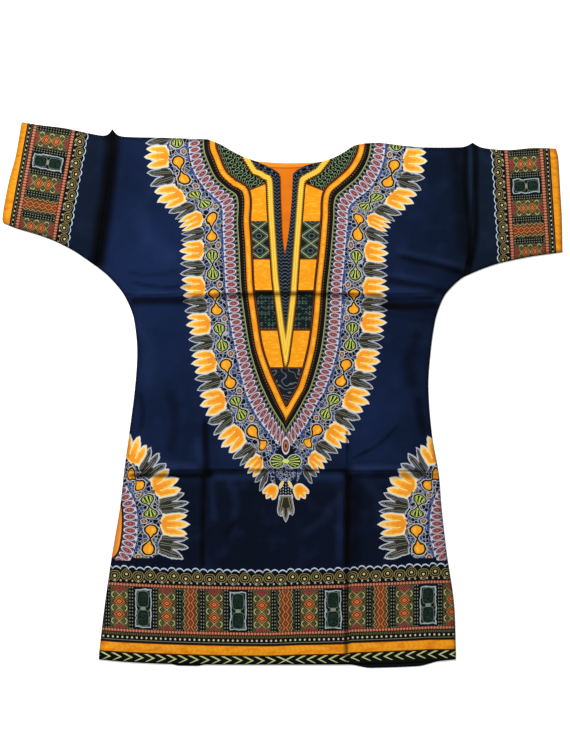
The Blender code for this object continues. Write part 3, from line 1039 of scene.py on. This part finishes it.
def numbers(tree, name):
    """The three numbers that are stored on the cloth's points under one name."""
    reader = tree.nodes.new("ShaderNodeAttribute")
    reader.attribute_name = name
    split = Field(tree, reader.outputs["Vector"])
    return [split.node("ShaderNodeSeparateXYZ", {}, {0: split}, k) for k in range(3)]


def noise(place, scale, detail=2):
    return place.node("ShaderNodeTexNoise", {}, {"Vector": place, "Scale": scale, "Detail": detail})


def streaks(place, scale):
    """Noise that is drawn out along a slant, like the brush marks in the orange."""
    turn = {"Vector": place, "Rotation": (0, 0, 0.6), "Scale": (1, 3.2, 1)}
    return noise(place.node("ShaderNodeMapping", {}, turn), scale, 2)


def lace(place, scale):
    """Thin lines between irregular cells, and a tone for each cell."""
    feeds = {"Vector": place, "Scale": scale}
    lines = place.node("ShaderNodeTexVoronoi", {"feature": "DISTANCE_TO_EDGE"}, feeds)
    cells = place.node("ShaderNodeTexVoronoi", {"feature": "F1"}, feeds, 1)
    return lines, cells.node("ShaderNodeSeparateColor", {}, {0: cells})


print("orange as a linear colour:", [round(v, 3) for v in linear_colour(250, 165, 25)[:3]])

# %% [markdown]
# ## The ground
# The cloth is dyed navy, and wax printing leaves it a little uneven, so broad noise mixes a lighter and a
# darker navy. Over that lie painted sheen, a lighter patch on the right chest, and painted shade, which
# darkens the lower middle, the side towards the left sleeve and both sleeves.

# %% Navy ground
def navy_ground(place, x, y):
    cloud = noise(place, 9, 3)
    cloud = (cloud - 0.5) * 2.2 + 0.5
    colour = blend(cloud, linear_colour(9, 21, 44), linear_colour(18, 33, 67))
    # a lighter patch on the right chest: painted sheen
    chest = 1 - oval(x + 215, y - 215, 130, 150)
    colour = colour.lay(20, 38, 76, (chest | 0) * 0.9)
    # darker lower middle: painted shade
    low = (-100 - y) / 60 & 1 | 0
    colour = colour.lay(5, 10, 21, low * 0.80)
    # darker side towards the left sleeve: painted shade
    side = (x - 130) / 200 & 1 | 0
    colour = colour.lay(6, 16, 28, side * 0.75)
    # greyer, darker sleeves, and the right sleeve darker still: painted shade
    sleeves = (abs(x) - 290) / 20 & 1 | 0
    colour = colour.lay(16, 28, 42, sleeves * 0.55)
    colour = colour.lay(9, 18, 32, ((-290 - x) / 20 & 1 | 0) * 0.5)
    worn = (noise(place, 28, 4) - 0.52) * 4 & 1 | 0
    return colour.lay(38, 58, 104, worn * 0.14)


# %% [markdown]
# ## Tulips, hearts and fans
# Outside the beads stands a fringe of tulips, three-fingered in orange and two-fingered in dark
# green, with pale outlines. Between them and the beads lies a lacy ground with pairs of orange
# drops and pairs of leafy fans. Each motif is a field that is positive inside its shape, so its
# outline is simply where the field is just below 0.

# %% The tulips
def petal(across, axis, share, width):
    """A finger that keeps its width for most of its length and ends in a point where share is 1."""
    square = share * share
    return width * (1 - square * square * share) - abs(across - axis)


def draw_tulips(colour, n, s):
    up = (s - 0.44) / 0.56 | 0
    from_orange = fold(n) * 0.92
    from_dark = 0.46 - fold(n) * 0.92
    in_band = (s > 0.36) & (s < 1.2)
    at_side = n > 20
    dark_axis = at_side * 0.054 + up * 0.070 + 0.054
    third = petal(from_dark, 0, up * 0.97, 0.062) - (1 - at_side)
    dark_fingers = (petal(from_dark, dark_axis, up * 1.04, 0.078 - at_side * 0.014) | third) & s - 0.5
    dark_cup = (0.19 - oval(from_dark, s - 0.62, 1, 0.85)) & 0.74 - s
    dark = dark_fingers | dark_cup
    colour = colour.lay(176, 181, 192, (dark > -0.025) & in_band)
    colour = colour.lay(44, 43, 35, (dark > 0) & in_band)
    stitched = between(dark, 0.013, 0.024) & (fold(s, 0.034) > 0.006)
    colour = colour.lay(134, 132, 116, stitched & in_band)
    vein = abs(from_dark - dark_axis) & from_dark + 1 - at_side
    colour = colour.lay(118, 119, 108, (vein < 0.026) & (dark > 0.03) & in_band)
    colour = colour.lay(30, 31, 28, (vein < 0.012) & (dark > 0.03) & in_band)
    parting = (from_dark + at_side < 0.011) & (dark > 0) & (s > 0.66)
    colour = colour.lay(170, 174, 182, parting & in_band)
    middle = petal(from_orange, 0, up, 0.088)
    outer = petal(from_orange, 0.150 + up * 0.045, up * 1.09, 0.085)
    fingers = (middle | outer) & s - 0.52
    cup = (0.245 - oval(from_orange, s - 0.64, 1, 0.80)) & 0.77 - s
    at_ends = (n > 9.6) & (n < 20) | (n > SIDE_NUMBER + 2.6)
    orange = (fingers | cup) - at_ends
    colour = colour.lay(206, 204, 212, (orange > -0.023) & in_band)
    colour = colour.lay(255, 228, 158, (orange > 0) & in_band)
    colour = colour.lay(251, 196, 88, (orange > 0.016) & (up < 0.92) & in_band)
    colour = colour.lay(246, 170, 52, (orange > 0.036) & (up < 0.74) & in_band)
    core = (abs(fold(from_orange, 0.165)) < 0.022) & (up > 0.05) & (up < 0.55)
    heart = oval(from_orange, s - 0.57, 0.13, 0.085) < 1
    colour = colour.lay(241, 148, 38, (core | heart) & (orange > 0.03) & in_band)
    groove = (abs(from_orange - 0.083) < 0.013) & (up > 0.24)
    return colour.lay(255, 222, 142, groove & (orange > 0) & in_band)


# %% The drops and fans between tulips and beads
def draw_pairs(colour, n, s, place):
    lines, tone = lace(place, 165)
    ground = colour.lay(50, 68, 110, (s > 0) & (s < 2))
    ground = ground.lay(12, 19, 34, tone < 0.55)
    ground = ground.lay(92, 88, 60, tone > 0.82)
    ground = ground.lay(164, 168, 184, lines < 0.055)
    edge = 0.46 + (tone - 0.5) * 0.06
    colour = paint(colour, ground, s < edge)
    colour = colour.lay(46, 70, 124, between(s, 0.015, 0.065) & (tone > 0.45))
    from_pair = fold(n - 0.42) * 0.92 - 0.21
    height = s - 0.275
    round_end = 0.103 - oval(from_pair - 0.015, height, 1, 1)
    point = ((from_pair + 0.165) * 0.50 - abs(height)) & 0.03 - from_pair
    drop = round_end | point
    drop = drop - ((n > 8.95) & (n < 20))
    even = fold(n - 0.42, 2) < 0.5
    colour = colour.lay(186, 186, 184, drop > -0.056)
    colour = colour.lay(30, 26, 18, drop > -0.037)
    colour = colour.lay(246, 160, 34, (drop > 0) & even)
    colour = colour.lay(252, 184, 62, (drop > 0.04) & even & (height > 0.01))
    fan = 1 - even
    colour = colour.lay(160, 176, 96, (drop > -0.006) & fan)
    colour = colour.lay(24, 42, 24, (drop > 0.010) & fan)
    ray = fold(height / (from_pair + 0.26) * 4.2) < 0.21
    tip = from_pair < -0.10
    colour = colour.lay(192, 206, 96, (ray | tip) & (drop > 0.012) & fan)
    from_bud = oval(fold(n - 0.92) * 0.92, s - 0.13, 0.066, 0.05)
    colour = colour.lay(190, 184, 178, from_bud < 1.35)
    colour = colour.lay(112, 76, 56, from_bud < 1)
    return colour.lay(188, 138, 98, from_bud < 0.45)


# %% [markdown]
# ## Beads
# A row of long mauve beads with pale outlines runs along the inside of the drops. Towards the
# neck come a row of dark dots, a thin cream line and a black stripe. The half-rounds at the sides
# have the beads alone, which reach right to their orange middle.

# %% The beads
def draw_beads(colour, t, bead, dots, at_side):
    colour = colour.lay(17, 16, 17, t < 1)
    speck = oval(fold(dots * 1.5), t - 0.07, 0.26, 0.030)
    colour = colour.lay(106, 76, 38, speck < 1)
    row = between(t, 0.335, 0.47)
    colour = colour.lay(126, 132, 102, row)
    dot = oval(fold(dots), t - 0.405, 0.37, 0.066)
    colour = colour.lay(14, 15, 12, (dot < 1) & row)
    colour = colour.lay(158, 160, 112, between(t, 0.275, 0.315))
    start = 0.465 - at_side * 0.40
    half = (1 - start) / 2
    colour = colour.lay(72, 66, 88, (t > start) & (t < 1))
    across = (t - start - half) / half
    shape = oval(fold(bead), across, 0.455, 0.97)
    colour = colour.lay(212, 206, 220, shape < 1)
    colour = colour.lay(96, 56, 68, shape < 0.80)
    colour = colour.lay(156, 92, 92, shape < 0.70)
    colour = colour.lay(84, 34, 42, shape < 0.42)
    colour = colour.lay(176, 108, 94, shape < 0.24)
    return colour.lay(196, 196, 210, between(t, 0.955, 1) & (fold(bead) < 0.40))


# %% [markdown]
# ## Stripes beside the slit
# Inside the beads come an orange stripe, a column of blocks, a yellow stripe, and a black one
# along the slit itself. The blocks alternate between plain orange, a dark lattice and dark
# florets, and above them a dark yoke with small loops fills the way to the shoulder.

# %% The stripes and blocks
BLOCKS = (
    # from y, to y, kind
    (285.5, 360, "orange"), (226, 287, "lattice"), (173.5, 223.5, "orange"),
    (109.5, 168, "floret"), (46, 106, "orange"),
)


def draw_blocks(colour, x, y, orange, yellow, place):
    """The column between the two stripes, from the shoulder down to the point."""
    from_middle = abs(x - MIDDLE_X)
    fine_tone = lace(place, 210)[1]
    rings = noise(place, 34, 1)
    curls = fold(rings * 9) < 0.10
    colour = colour.lay(23, 27, 36, y < 44)
    colour = colour.lay(88, 104, 108, curls & (y < 44))
    share = yellow / (yellow - orange)
    for low, high, kind in BLOCKS:
        here = between(y, low, high)
        if kind == "orange":
            colour = colour.lay(243, 154, 22, here)
            streak = streaks(place, 110) > 0.56
            colour = colour.lay(250, 174, 44, here & streak)
        if kind == "lattice":
            step = (high - low) / 2.5
            slant = fold((y - low) / step) - abs(share - 0.43) * 1.3
            crossing = abs(slant)
            colour = colour.lay(18, 32, 28, here)
            colour = colour.lay(84, 98, 76, between(crossing, 0.11, 0.16) & here)
            colour = colour.lay(146, 158, 122, (crossing < 0.045) & here)
            stud = oval(share - 0.43, fold((y - low) / step - 0.5), 0.11, 0.15)
            colour = colour.lay(92, 104, 96, between(stud, 0.85, 1.15) & here)
            colour = colour.lay(15, 22, 42, (stud < 0.85) & here)
        if kind == "floret":
            colour = colour.lay(16, 29, 31, here)
            hooks = abs(oval(fold(from_middle + fold(y, 9), 6), fold(y, 9), 1.9, 3.2) - 0.8) < 0.17
            colour = colour.lay(96, 116, 104, hooks & here)
            colour = colour.lay(16, 29, 31, (fine_tone < 0.3) & here)
        colour = colour.lay(92, 44, 20, between(y, low - 2.4, low))
    mitre = y - (338 + (60.5 - from_middle) * 0.40)
    colour = colour.lay(13, 19, 15, mitre > 0)
    along = from_middle * 0.77 + y * 0.64
    loop = oval(fold(along + fold(orange, 18) * 0.5, 7.4), fold(orange + 6.5, 9.6), 2.5, 4.1)
    colour = colour.lay(124, 146, 108, between(loop, 0.70, 1.04) & (mitre > 1.5))
    return colour.lay(112, 42, 26, between(mitre, -1.2, 1.2))


def draw_stripes(colour, x, y, orange, yellow, place):
    inside = colour.lay(14, 17, 18, orange < 1)
    blocks = draw_blocks(inside, x, y, orange, yellow, place)
    column = (orange < -13) & (yellow > 2.6)
    inside = paint(inside, blocks, column)
    inside = inside.lay(104, 46, 22, between(orange, -12.2, -10.6) | between(yellow, 0.5, 1.7))
    inside = inside.lay(240, 150, 28, between(orange, -9, -0.3))
    grain = noise(place, 90, 1)
    inside = inside.lay(248, 174, 46, between(orange, -6.4, -2.4) & (grain > 0.47))
    ticks = fold(y + x * 0.3, 3.3) < 0.85
    both_edges = between(orange, -9, -7.4) | between(orange, -1.6, -0.3)
    inside = inside.lay(190, 112, 26, ticks & both_edges)
    inside = inside.lay(240, 186, 50, between(yellow, -9.6, 0))
    inside = inside.lay(248, 204, 76, between(yellow, -7.6, -2))
    inside = inside.lay(116, 80, 24, ticks & (between(yellow, -9.6, -8.2) | between(yellow, -1.5, 0)))
    inside = inside.lay(204, 146, 32, between(yellow, -5.2, -4.6))
    slit_side = yellow < -9.6
    inside = inside.lay(11, 13, 20, slit_side)
    zigzag = fold(y + fold(yellow, 6.4) * 1.2, 5.8) < 0.75
    inside = inside.lay(84, 94, 106, zigzag & (yellow < -11.8))
    return inside.lay(116, 118, 104, between(yellow, -11.2, -10.4) & (fold(y, 3.3) < 0.9))


# %% [markdown]
# ## Borders
# The hem and the cuffs end in a border: arrowheads, an orange stripe, rows of dots, then upright
# panels between two red beaded lines, a row of round rosettes and a white scalloped line. Four
# panels repeat: a dense red one, a pair of lozenges, a plain box and lozenges again.

# %% The panels
PANEL_LOW = 55.3
PANEL_HIGH = 124.7
PANEL_DEPTH = 66
BOX_MIDDLE = 0.52


def draw_panels(colour, c, v, place):
    lines, tone = lace(place, 215)
    colour = colour.lay(44, 42, 28, v > 0)
    colour = colour.lay(15, 21, 15, tone < 0.55)
    colour = colour.lay(86, 86, 56, lines < 0.04)
    turn = fold(c, 4)
    e = fold(c)
    h = (v - PANEL_LOW) / PANEL_DEPTH
    g = fold((h - 0.02) / 0.325)
    lozenge = between(turn, 0.5, 1.5)
    feather = fold((e * 1.5 - g) * 6.5) < 0.17
    colour = colour.lay(112, 104, 66, feather & lozenge & (e < 0.36))
    cross = abs(e * 1.9 - (0.5 - g)) < 0.055
    colour = colour.lay(158, 146, 88, cross & lozenge & (e < 0.27))
    wing = (abs(oval(e - 0.22, g - 0.5, 0.12, 0.24) - 0.86) < 0.14) & (e > 0.24)
    colour = colour.lay(176, 176, 116, wing & lozenge)
    diamond = e / 0.25 + g / 0.36
    colour = colour.lay(24, 18, 12, (diamond < 1.22) & lozenge)
    colour = colour.lay(196, 108, 52, (diamond < 1) & lozenge)
    colour = colour.lay(110, 34, 20, (diamond < 0.76) & lozenge)
    colour = colour.lay(216, 132, 74, (diamond < 0.44) & lozenge)
    colour = colour.lay(120, 36, 22, (diamond < 0.20) & lozenge)
    at_end = abs(h - 0.508) > 0.375
    colour = colour.lay(70, 26, 20, (diamond < 1) & at_end & lozenge)
    nested = fold(diamond, 0.34) < 0.05
    colour = colour.lay(182, 98, 82, nested & (diamond < 1.1) & at_end & lozenge)
    dense = turn < 0.5
    wave = fold(h * 6.1) * 0.16
    colour = colour.lay(156, 142, 98, (e < 0.235 + wave) & dense)
    colour = colour.lay(40, 26, 16, (e < 0.195 + wave) & dense)
    colour = colour.lay(112, 54, 28, (e < 0.16 + wave) & dense)
    zigzag = fold(e * 7 + fold(h * 5) * 1.6) < 0.15
    colour = colour.lay(186, 118, 66, zigzag & (e < 0.15 + wave) & dense)
    spots = oval(e - 0.25, fold(h * 6.1 - 0.5), 0.03, 0.13) < 1
    colour = colour.lay(20, 18, 14, spots & dense)
    box = turn > 1.5
    colour = colour.lay(12, 18, 18, (e < 0.395) & box)
    uneven = (noise(place, 80, 2) - 0.5) * 7
    off = abs(h - BOX_MIDDLE)
    rim = (e * PANEL + uneven + fold(h * 9) - 13.6) | (off * PANEL_DEPTH + uneven - 31.5)
    colour = colour.lay(158, 172, 178, between(rim, -1.9, 0) & box)
    flecks = (tone > 0.72) & between(rim, -4.6, -1.9)
    colour = colour.lay(90, 96, 70, flecks & box)
    square = e / 0.215 | abs(off - 0.235) / 0.185
    block = oval(e, off - 0.235, 0.235, 0.205) * 0.4 + square * 0.6
    colour = colour.lay(86, 98, 84, (block < 1.12) & box)
    colour = colour.lay(15, 30, 26, (block < 1) & box)
    colour = colour.lay(42, 60, 48, (lines < 0.05) & (block < 0.8) & box)
    middle = oval(e, off, 0.12, 0.045)
    colour = colour.lay(128, 136, 118, (middle < 1) & box)
    strip = e > 0.395
    colour = colour.lay(12, 14, 11, strip)
    dots = oval((e - 0.447) * PANEL, fold(v, 5.6), 0.95, 1.4)
    return colour.lay(122, 128, 112, (dots < 1) & strip)


# %% The rows above and below the panels
def draw_border(colour, c, v, place):
    p = c.maths("FRACT", c - 0.10)
    swing = abs((p * 9.4248 - 8.954).sine())
    lumps = swing.maths("POWER", swing, 0.62) * 4.8
    top = lumps - p * 2.6 + ((p - 0.9) | 0) * 26 + 154.2
    colour = colour.lay(13, 15, 13, v < top)
    colour = colour.lay(186, 200, 222, abs(v - top) < 1.1)
    centre = 145.4 - fold(c - 0.3, 1) * 9
    radius = oval(fold(c - 0.3, 0.5) * PANEL, v - centre, 9.6, 9.2)
    rings = between(radius, 0.86, 0.98) | between(radius, 0.52, 0.64)
    colour = colour.lay(140, 126, 80, rings)
    colour = colour.lay(206, 192, 128, radius < 0.22)
    low_dot = oval(fold(c, 0.248) * PANEL, v - 134.4, 1.5, 1.7)
    colour = colour.lay(164, 168, 160, low_dot < 1)
    panels = draw_panels(colour, c, v, place)
    colour = paint(colour, panels, between(v, PANEL_LOW, PANEL_HIGH))
    for low, high in ((49.5, PANEL_LOW), (PANEL_HIGH, 130.7)):
        colour = colour.lay(74, 36, 24, between(v, low, high))
        ball = oval(fold(c, 0.128) * PANEL, v - (low + high) / 2, 2.0, 2.2)
        colour = colour.lay(194, 118, 88, ball < 1)
    hatch = fold(c * 13) < 0.25
    colour = colour.lay(98, 92, 56, between(v, 44.8, 48.6) & hatch)
    bead = oval(fold(c, 0.202) * PANEL, v - 41, 1.6, 1.7)
    colour = colour.lay(200, 196, 168, bead < 1)
    colour = colour.lay(120, 120, 98, between(v, 36, 37))
    streak = streaks(place, 46)
    burnt = ((streak - 0.48) * 6 & 1 | 0) * 0.6
    colour = colour.lay(246, 160, 30, between(v, 15.8, 32.6))
    colour = colour.lay(212, 110, 18, burnt & between(v, 16, 32.4))
    braid = fold(c * 4.6 + abs(v - 24) / 13) < 0.13
    colour = colour.lay(214, 118, 20, braid & between(v, 17, 31.6) * 0.35)
    colour = colour.lay(128, 56, 12, between(v, 15.8, 17) | between(v, 31.6, 32.6))
    colour = colour.lay(13, 16, 11, v < 15.8)
    along = abs(c) - abs(v - 7.9) * 0.052
    stroke = fold(along, 0.463) < 0.058 + (v - 7.9) * 0.003
    return colour.lay(198, 206, 144, stroke & between(v, 1.6, 14.4))


# %% [markdown]
# Below the last beads, where the two halves of the band meet, stands a small group of its own:
# an upright bead, a pair of fans, feathers, two pale leaves and a dark flower that points down.

# %% The group at the point
def draw_point(colour, place, x, y):
    a = abs(x - MIDDLE_X)
    lines, tone = lace(place, 230)
    colour = colour.lay(13, 18, 28, oval(a, y + 124, 19, 46) < 1)
    plume = oval(a, y + 128, 17, 15) < 1
    colour = colour.lay(52, 70, 116, (tone > 0.66) & plume)
    colour = colour.lay(164, 170, 188, (lines < 0.07) & plume)
    dots = oval(fold(a, 4.2), fold(y + fold(a, 8.4), 4.6), 0.95, 1.0) < 1
    colour = colour.lay(176, 178, 172, dots & (a < 9) & between(y, -174, -144))
    bow = oval(a - 14.2, y + 109.4, 11, 10.4)
    colour = colour.lay(186, 192, 170, bow < 1.14)
    colour = colour.lay(26, 42, 26, bow < 1)
    ribs = fold((y + 109.4) / (a + 2) * 4.4) < 0.2
    colour = colour.lay(196, 210, 108, ribs & (bow < 0.86))
    colour = colour.lay(206, 216, 124, oval(a, y + 109, 5.4, 3.6) < 1)
    bead = oval(a, y + 84, 5.6, 12)
    colour = colour.lay(206, 200, 210, bead < 1.2)
    colour = colour.lay(104, 60, 50, bead < 0.92)
    colour = colour.lay(176, 110, 84, bead < 0.62)
    colour = colour.lay(84, 36, 32, bead < 0.34)
    leaf = oval(a - 7.4 + (y + 148) * 0.4, y + 148, 3.2, 7)
    colour = colour.lay(222, 204, 140, leaf < 1)
    out = (a - 23.5) * 0.55 - (y + 158) * 0.83
    across = abs((a - 23.5) * 0.83 + (y + 158) * 0.55)
    open_up = (out + 4) / 19 | 0
    tulip = (petal(across, 0, open_up, 4.0) | petal(across, open_up * 5 + 5, open_up * 1.25, 4.2)) & out + 2
    tulip = tulip | (9.5 - oval(across, out + 1.5, 1, 1))
    colour = colour.lay(206, 204, 212, tulip > -1.6)
    colour = colour.lay(252, 206, 110, tulip > 0)
    colour = colour.lay(246, 164, 42, tulip > 1.6)
    colour = colour.lay(240, 142, 30, tulip > 4.6)
    up = (-170 - y) / 38 | 0
    side_axis = up * 8.5 + 4.5
    flower = petal(a, 0, up, 4.6) | petal(a, side_axis, up * 1.38, 4.6)
    flower = flower | (11 - oval(a, y + 178, 1, 1))
    flower = flower & -167 - y
    colour = colour.lay(172, 176, 186, flower > -1.7)
    colour = colour.lay(44, 41, 32, flower > 0)
    veins = (abs(a - side_axis) < 0.55) | between(flower, 0.9, 1.8)
    return colour.lay(146, 142, 112, veins & (flower > 0.8))


# %% [markdown]
# The painted shade of a crease multiplies what is printed there, so that orange turns burnt and navy nearly
# black, as it does where a dark fold crosses the print. Where the tone is above 0, a pale navy is laid on
# as painted highlight.

# %% Sharp lines of the pressed folds
PRESSED_FOLDS = (
    # measured on, place, slope, half width, depth, from and to on the other axis, in millimetres
    ("y", 166.5, 0, 3.6, 0.95, -266, 266),
    ("y", -125.4, 0, 3.8, 1.0, -262, 262),
    ("x", -129.5, 0, 3.2, 0.85, -285, -40),
    ("x", 107.0, 0, 3.2, 0.95, -445, -60),
    ("y", 280.1, -0.273, 3.2, 1.0, 190, 304),
    ("y", 228.0, -0.208, 3.2, 0.9, 176, 270),
)


def pressed_lines(place, x, y):
    """1 in the middle of a pressed fold, less beside it; it wanders and fades a little."""
    wander = (noise(place, 11, 3) - 0.5) * 7
    fading = (noise(place, 16, 1) - 0.30) * 3.2 & 1 | 0.32
    total = 0 * fading
    for axis, at, slope, half, depth, low, high in PRESSED_FOLDS:
        measured, other = (x, y) if axis == "x" else (y, x)
        away = abs(measured - other * slope - at + wander)
        total = total | (1 - away / half) * depth * between(other, low, high)
    return total * fading


# %% Shade along creases
def crease_shade(colour, tone, place, x, y):
    # negative tones and the pressed fold lines darken by multiplying: painted shade
    dark = 1 - (-tone | 0)
    dark = (1 - dark * dark) | pressed_lines(place, x, y)
    colour = blend(dark, colour, (0.05, 0.03, 0.03, 1), "MULTIPLY")
    # a pale navy where the tone is above 0: painted highlight on the lit side of a crease
    return colour.lay(66, 92, 156, (tone | 0) * 0.22)


# %% [markdown]
# ## The whole print
# The layers go on in the order in which they cover each other: ground, tulips, drops, beads,
# stripes, and last the border, which cuts off the half-rounds at the sides.

# %% Put the print together
def whole_print(tree):
    """Colour of the printed side, from the numbers on the cloth."""
    coordinates = tree.nodes.new("ShaderNodeTexCoord")
    place = Field(tree, coordinates.outputs["Object"])
    x, y = [place.node("ShaderNodeSeparateXYZ", {}, {0: place}, k) * 1000 for k in (0, 1)]
    n, t, bead = numbers(tree, "band")
    orange, yellow, dots = numbers(tree, "stripe")
    # tone is the creases' painted shade below 0 and painted highlight above 0
    c, v, tone = numbers(tree, "border")
    shake = noise(place, 110, 1) - 0.5
    n = n + shake * 0.05
    s = t - 1 + shake * 0.03
    at_side = n > SIDE_NUMBER - 5
    pinch = ((n - 8.6) / 1.6 & 1 | 0) * (1 - at_side) * 0.55
    s = 1 - (1 - s) * (1 + pinch)
    colour = navy_ground(place, x, y)
    side_n = n - SIDE_NUMBER
    beads_end = (t < 1) & (y > -273)
    drops_end = (t < 1.44) & (side_n < 2.96) & (y > -269)
    on_band = (orange > 0) & (t < 2.3) & ((side_n < 2.76) | beads_end | drops_end)
    fringe = draw_tulips(colour, n, s)
    fringe = paint(fringe, draw_pairs(fringe, n, s, place), s < 0.56)
    fringe = paint(fringe, draw_beads(fringe, t, bead, dots, at_side), t < 1)
    colour = paint(colour, fringe, on_band)
    near_point = (abs(x - MIDDLE_X) < 44) & between(y, -215, -70)
    colour = paint(colour, draw_point(colour, place, x, y), near_point)
    stripes = draw_stripes(colour, x, y, orange, yellow, place)
    colour = paint(colour, stripes, (orange < 0) & (1 - at_side))
    colour = colour.lay(48, 24, 18, between(orange, -3, 1.2) & at_side)
    colour = colour.lay(246, 150, 58, (orange < -1.5) & at_side)
    border = draw_border(colour, c, v, place)
    colour = paint(colour, border, v < 163)
    return crease_shade(colour, tone, place, x, y), place, x, y


# %% [markdown]
# ## Cotton
# Under the print the cloth is a plain weave with a soft, dry surface. Threads are far too many to
# model, so a bump of crossed sine waves stands for them, with a weak noise for the small puckers
# that cotton keeps. The inner side has no finish and shows the dye more palely, and round the neck
# it is plain orange, as what shows through the slit is in the photograph.

# %% The two cotton materials
THREAD = 0.62
FULL_TURN = 6.2832


def cotton(name):
    material = bpy.data.materials.new(name)
    material.use_nodes = True
    tree = material.node_tree
    shader = tree.nodes["Principled BSDF"]
    shader.inputs["Sheen Weight"].default_value = 0.008
    shader.inputs["Sheen Roughness"].default_value = 0.5
    shader.inputs["Specular IOR Level"].default_value = 0.05
    return material, tree, shader


def weave_relief(place, x, y, shader):
    """Threads and small puckers, as a bump, and a roughness that varies with them."""
    across = (x * (FULL_TURN / THREAD)).sine()
    along = (y * (FULL_TURN / THREAD)).sine()
    puckers = noise(place, 45, 3)
    crumples = noise(place, 13, 2)
    height = across * along * 0.03 + puckers * 0.9 + crumples * 3.2 - pressed_lines(place, x, y) * 0.9
    bump = place.node("ShaderNodeBump", {}, {"Strength": 0.5, "Distance": 0.0012, "Height": height})
    place.tree.links.new(bump.socket, shader.inputs["Normal"])
    rough = 0.7 + puckers * 0.18
    place.tree.links.new(rough.socket, shader.inputs["Roughness"])


printed, print_tree, print_shader = cotton("printed_cotton_outer")
colour, place, x, y = whole_print(print_tree)
print_tree.links.new(colour.socket, print_shader.inputs["Base Color"])
weave_relief(place, x, y, print_shader)
print("nodes in the print:", len(print_tree.nodes))

# %% The inner side
reverse, reverse_tree, reverse_shader = cotton("printed_cotton_inner")
colour, place, x, y = whole_print(reverse_tree)
colour = colour.lay(42, 48, 62, 0.22)
facing = blend(streaks(place, 16), linear_colour(210, 102, 16), linear_colour(232, 130, 26))
colour = paint(colour, facing, (abs(x - MIDDLE_X) < 150) & (y > 180))
from_neck = y - 383 - (x - 5) * (x - 5) * 0.0016
colour = colour.lay(252, 164, 66, between(from_neck, -7, 1) * 0.45)
colour = colour.lay(176, 62, 10, between(from_neck, -9, -7.2) * 0.7)
reverse_tree.links.new(colour.socket, reverse_shader.inputs["Base Color"])
weave_relief(place, x, y, reverse_shader)
for cloth in CLOTHS:
    cloth.data.materials.append(printed)
    cloth.data.materials.append(reverse)
print("nodes on the inner side:", len(reverse_tree.nodes))

# %% [markdown]
# ## What each piece is
# Every cloth piece rides with the one rigid body of the packed model, stands for its own solid, and takes
# its finish from the printed cotton.

REPLACED = {front: "front", back: "back", sleeve_right: "sleeve_right", sleeve_left: "sleeve_left"}
for cloth, node in REPLACED.items():
    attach(cloth, "root")
    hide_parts(node)
print("pieces:", [cloth.name for cloth in CLOTHS])
